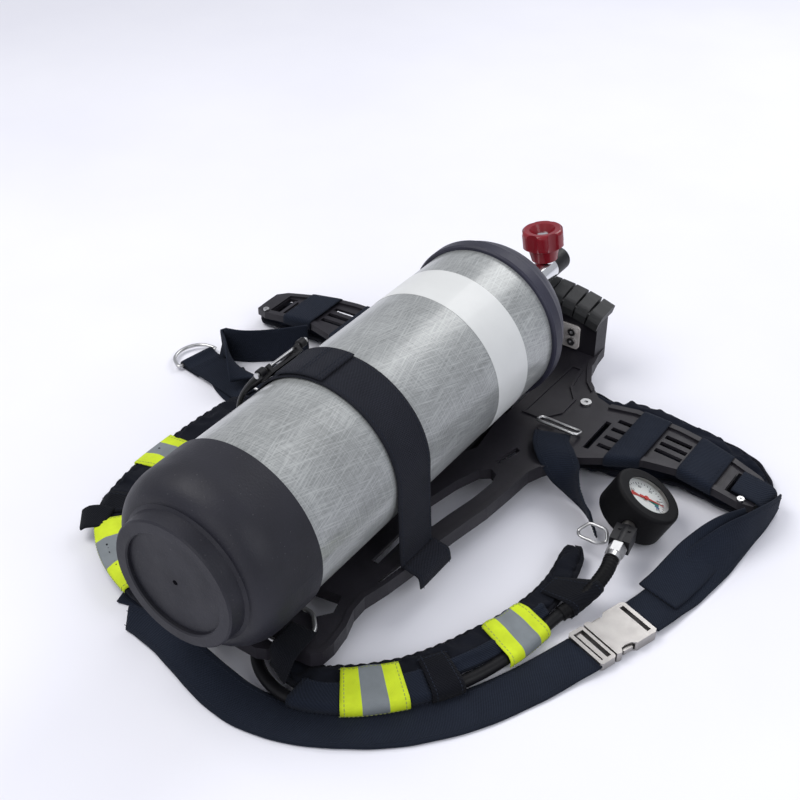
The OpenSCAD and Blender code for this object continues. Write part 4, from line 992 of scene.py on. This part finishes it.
FASTENER = [
    (-184, 100, -96.4, 0, 26), (-194, 96, -96.6, -8, 26), (-204, 91, -99.5, -14, 25),
    (-209, 88.5, -104, -16, 24)]
# Straps: name, node that it stands for (those are stitched), route, thickness, material, sway, seed
for name, node, route, thick, material, sway, seed in (
        ("pull_strap_right_tape", "pull_strap_right", PULL_RIGHT, 2, m_web, 0.001, 1.5),
        ("pull_strap_left_tape", "pull_strap_left", PULL_LEFT, 2, m_web, 0.001, 2.5),
        ("waist_belt_right_tape", "waist_belt_right", BELT_RIGHT, 2.6, m_web, 0.0008, 3.5),
        ("waist_belt_left_near_tape", "waist_belt_left", BELT_NEAR, 2.6, m_web, 0.0006, 4.5),
        ("waist_belt_right_top_tape", None, BELT_RIGHT_TOP, 2.6, m_web, 0.0, 1.0),
        ("waist_belt_right_tail_tape", None, BELT_RIGHT_TAIL, 2.4, m_web, 0.0006, 8),
        ("waist_belt_left_far_tape", None, BELT_FAR, 2.6, m_web, 0.0008, 6),
        ("waist_belt_left_under_tape", None, BELT_UNDER, 2.6, m_web, 0.0003, 7),
        ("left_fastener_tab", None, FASTENER, 3, m_web_dark, 0.001, 9)):
    left, right = edges_of(route, sway, seed)
    tape = strip_between(name, left, right, thick / 1000, material)
    if node:
        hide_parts(node)
        stitch_rows(name + "_thread", left, right, thick / 1000, 0.0045, both_sides=True)


def on_tail(x, y, z):
    """Point by the D ring's bar: x along the tail strap, y across it."""
    c, s = polar(1, -10)
    return P(-308.5 + x * c - y * s, 358 + x * s + y * c, -112.8 + z)


# Tail strap with its end loop round the ring's bar
tail_edge = 20.5
loop = [(92, 0.3), (76, 0.3), (60, 0.3), (40, 0.3), (22, 0.3), (8, 0.5)]
loop += [polar(3.6, a) for a in range(60, 301, 20)]
loop += [(9, -2.9), (18, -2.6), (26, -2.3)]
loop = through_flat(loop, 2.5)
tail = strip_between("tail_strap_tape", [on_tail(x, -tail_edge, z) for x, z in loop],
                     [on_tail(x, tail_edge, z) for x, z in loop], 0.0017, m_web)
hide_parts("tail_strap")
ends = [((x, -18), (x, 18)) for x in (14, 17, 20)] + [((14, y), (90, y)) for y in (-17.5, 17.5)]
stitches("tail_strap_thread", [[(on_tail(*a, 1.2), Z), (on_tail(*b, 1.2), Z)] for a, b in ends])
half = 23.5
ring = [(0, -half), (0, -8), (0, 8), (0, half), (-3, half + 1.2)]
for a in range(75, -76, -15):
    c, s = polar(1, a)
    ring.append((-6 - 18 * c, half * s * 0.98))
ring.append((-3, -half - 1.2))
d_ring = tube("d_ring_wire", [on_tail(*q, 0) for q in ring], 0.002, m_steel, body="pull_ring", closed=True,
              sides=16)
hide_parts("d_ring")

# Wire loops, each with its mirror image
RING_Z = -81.5
RING_LOOP = [(42, 100), (50, 100.4), (57, 98.5), (67, 88), (69.4, 81), (69, 75), (60, 62), (55, 59), (44, 58),
             (41, 62), (40.2, 79), (40.6, 96)]
WAIST_RING = [(80, 444, -80), (99, 444, -80), (118, 444, -80), (121.2, 441, -79), (121.2, 435, -77),
              (118, 432, -76), (99, 432, -76), (80, 432, -76), (76.8, 435, -77), (76.8, 441, -79)]
ADJUSTER = [(178, 338, -101), (182, 341.5, -96.5), (186, 344, -93), (194, 344.3, -92.6), (202, 344, -93),
            (205, 341, -97), (206, 338, -101), (200, 332, -101), (191, 331.6, -101), (182, 332, -101)]
for side, sign, shift, lift in (("right", 1, 0, 0), ("left", -1, -10, 4)):
    for name, node, points, radius in (
            ("shoulder_ring", "shoulder_rings", [(sign * x, y, RING_Z) for x, y in RING_LOOP], 0.002),
            ("waist_ring", "waist_rings", [(sign * x, y, z) for x, y, z in WAIST_RING], 0.0016),
            ("strap_adjuster", "strap_adjusters",
             [(sign * x + shift, y + lift, z + lift / 2) for x, y, z in ADJUSTER], 0.0016)):
        wire = tube(f"{name}_{side}_wire", [P(*q) for q in points], radius, m_steel, closed=True, sides=14)
        if sign > 0:
            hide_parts(node)
LOOP_ROUTE = [(62, 80, RING_Z + 4.4, 0, 26), (63, 66, RING_Z + 4.4, 0, 26), (63.5, 55, RING_Z + 4, 0, 26),
              (63.5, 49, -81, 0, 26), (63, 46, -89, 0, 26), (62, 43.5, -99, 0, 26)]
for side, sign in (("right", 1), ("left", -1)):
    left, right = edges_of([(sign * x, *more) for x, *more in LOOP_ROUTE])
    tape = strip_between(f"shoulder_loop_{side}_tape", left, right, 0.002, m_web_dark)
    stitch_rows(f"shoulder_loop_{side}_thread", left, right, 0.002, 0.003)
    if sign > 0:
        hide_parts("shoulder_loops")

# Bands round the wings
WING = [(95, 401), (122, 401), (140, 410), (165, 427), (190, 441), (222, 450), (250, 448), (285, 447),
        (299, 452), (300, 470), (300, 487), (289, 495), (263, 501), (235, 507), (200, 510), (150, 510),
        (122, 503), (95, 503)]
BAND_THICK = 0.0019


def wing_loop(x):
    """Closed line round a wing's section at x, a band's clearance away from it."""
    ys = [y0 + (y1 - y0) * (x - x0) / (x1 - x0) for (x0, y0), (x1, y1) in zip(WING, WING[1:] + WING[:1])
          if (x0 - x) * (x1 - x) < 0]
    y0, y1 = min(ys), max(ys)
    top, low = wing_top(x) + 3.85, wing_top(x) - 7.4
    middle = (y0 + y1) / 2
    corner = ((-0.6, 2), (1.2, 0.2), (9, 0))
    line = [(y0 + d, top - h) for d, h in corner] + [(middle, top - 0.15)]
    line += [(y1 - d, top - h) for d, h in corner[::-1]] + [(y1 + 0.8, (top + low) / 2)]
    line += [(y1 - d, low + h) for d, h in corner] + [(middle, low)]
    line += [(y0 + d, low + h) for d, h in corner[::-1]] + [(y0 - 0.8, (top + low) / 2)]
    return through_flat(line, 3.0, closed=True)


def even(points, count):
    """Points spaced evenly along a closed line."""
    closed_points = points + points[:1]
    run = [0.0]
    for a, b in zip(points, closed_points[1:]):
        run.append(run[-1] + (b - a).length)
    out, j = [], 0
    for k in range(count):
        s = run[-1] * k / count
        while run[j + 1] < s:
            j += 1
        t = (s - run[j]) / max(run[j + 1] - run[j], 1e-9)
        out.append(closed_points[j].lerp(closed_points[j + 1], t))
    return out


for side, sign in (("right", 1), ("left", -1)):
    for index, xs in enumerate(((157, 187), (221, 258))):
        left, right = ([P(sign * x, *q) for q in wing_loop(x)] for x in xs)
        count = min(len(left), len(right))
        left, right = even(left, count), even(right, count)
        band = strip_between(f"wing_band_{side}_{index}_tape", left, right, BAND_THICK, m_web, closed=True)
        sewn = max(4, count // 3)
        stitch_rows(f"wing_band_{side}_{index}_thread", left[2:sewn], right[2:sewn], BAND_THICK, 0.004)
        if (side, index) == ("right", 0):
            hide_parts("wing_bands")

# Band round the cylinder, doubled near its top where it's sewn
BAND_R = 81.0
CYLINDER_BAND_THICK = 0.0022
arc = [polar(BAND_R, a) for a in range(0, 181, 4)]
right_drop = [(104.6, -96.6), (102.4, -85.4), (96, -83.4), (87, -81.2), (83.6, -78.5), (81.7, -30),
              (81.1, -12)]
left_drop = [(-81.1, -12), (-81.0, -30), (-67.6, -79), (-60.2, -84), (-59.1, -88), (-59, -93.5)]
profile = through_flat(right_drop + arc + left_drop, 3.5)
left, right = ([P(x, y, z) for x, z in profile] for y in (187.6, 235.4))
band = strip_between("cylinder_band_tape", left, right, CYLINDER_BAND_THICK, m_band, across=14)
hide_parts("cylinder_band")
stitch_rows("cylinder_band_thread", left, right, CYLINDER_BAND_THICK, 0.0036)
profile = through_flat([polar(BAND_R + 3.2, a) for a in range(88, 127, 3)], 3.0)
left, right = ([P(x, y, z) for x, z in profile] for y in (188.4, 234.6))
strip_between("cylinder_band_overlap_tape", left, right, CYLINDER_BAND_THICK, m_band, across=14)
lines = []
for a in (89.5, 92, 103, 105.5):
    (x, z), (c, s) = polar(BAND_R + 4.4, a), polar(1, a)
    lines.append([(P(x, y, z), Vector((c, 0, s))) for y in range(190, 235, 2)])
stitches("cylinder_band_overlap_thread", lines)

# ---- hose ----

# The hose runs on into its sleeve's end
pipe = tube("gauge_hose_smooth", [P(*q) for q in HOSE + SLEEVE[:3:-1]], 0.0055, m_hose, sides=24, step=0.004)
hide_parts("gauge_hose")
cover = tube("hose_sleeve_ribbed", [P(*q) for q in SLEEVE], 0.0068, m_rubber, sides=24, step=0.0007,
             ripple=0.025, pitch=0.0034)
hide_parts("hose_sleeve")

# ---- gauge face ----

face = (Matrix.Translation(P(221, 389, -73)) @ Matrix.Rotation(math.radians(29.7), 4, "Z")
        @ Matrix.Rotation(math.radians(28.5), 4, "Y"))


def on_face(r, degrees, z):
    return face @ Vector((*polar(r / 1000, degrees), z / 1000))


def sector(name, r0, r1, a0, a1, material, z=-6.45):
    """Thin mark on the dial between two radii and two angles."""
    steps = max(2, int(abs(a1 - a0) / 4))
    verts = []
    for i in range(steps + 1):
        a = a0 + (a1 - a0) * i / steps
        verts += [on_face(r0, a, z), on_face(r1, a, z), on_face(r1, a, z - 0.12), on_face(r0, a, z - 0.12)]
    link(name, new_mesh(name, verts, ring_faces(steps + 1, 4)), material, "gauge", smooth=False)


DIAL_START = -30    # degrees, at the scale's top number
sector("dial_red_sector", 3.2, 15.5, 166, 188, m_red_ink)
sector("dial_green_sector", 3.2, 14.5, -14, 6, m_green_ink)
sector("dial_blue_sector", 10.5, 15.5, -24, -14, m_blue_ink)
for i in range(25):
    a = DIAL_START + i * 10
    sector(f"dial_tick_{i}", 17.2 if i % 5 == 0 else 18.6, 20.4, a - 0.9, a + 0.9, m_dark_ink, z=-6.4)
for i, number in enumerate((50, 40, 30, 20, 10, 0)):
    figure = bpy.data.curves.new(f"dial_number_{number}", "FONT")
    figure.body = str(number)
    figure.size = 0.0042
    figure.align_x = "CENTER"
    figure.align_y = "CENTER"
    figure.extrude = 0.00005
    figure.materials.append(m_dark_ink)
    piece = placed(figure.name, figure)
    piece.matrix_world = face @ Matrix.Translation((*polar(0.0148, DIAL_START + i * 48), -0.00638))
    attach(piece, "gauge")

# ---- floor ----

ground = placed("floor", new_mesh("floor", [(-4, -3, 0), (4, -3, 0), (4, 6, 0), (-4, 6, 0)], [(0, 1, 2, 3)]))
paper = Shader("paper", 0.75)
paper.base(paper.ramp(paper.noise(3, 3), [(0.3, (0.81, 0.81, 0.87)), (0.7, (0.85, 0.85, 0.9))]))
ground.data.materials.append(paper.mat)
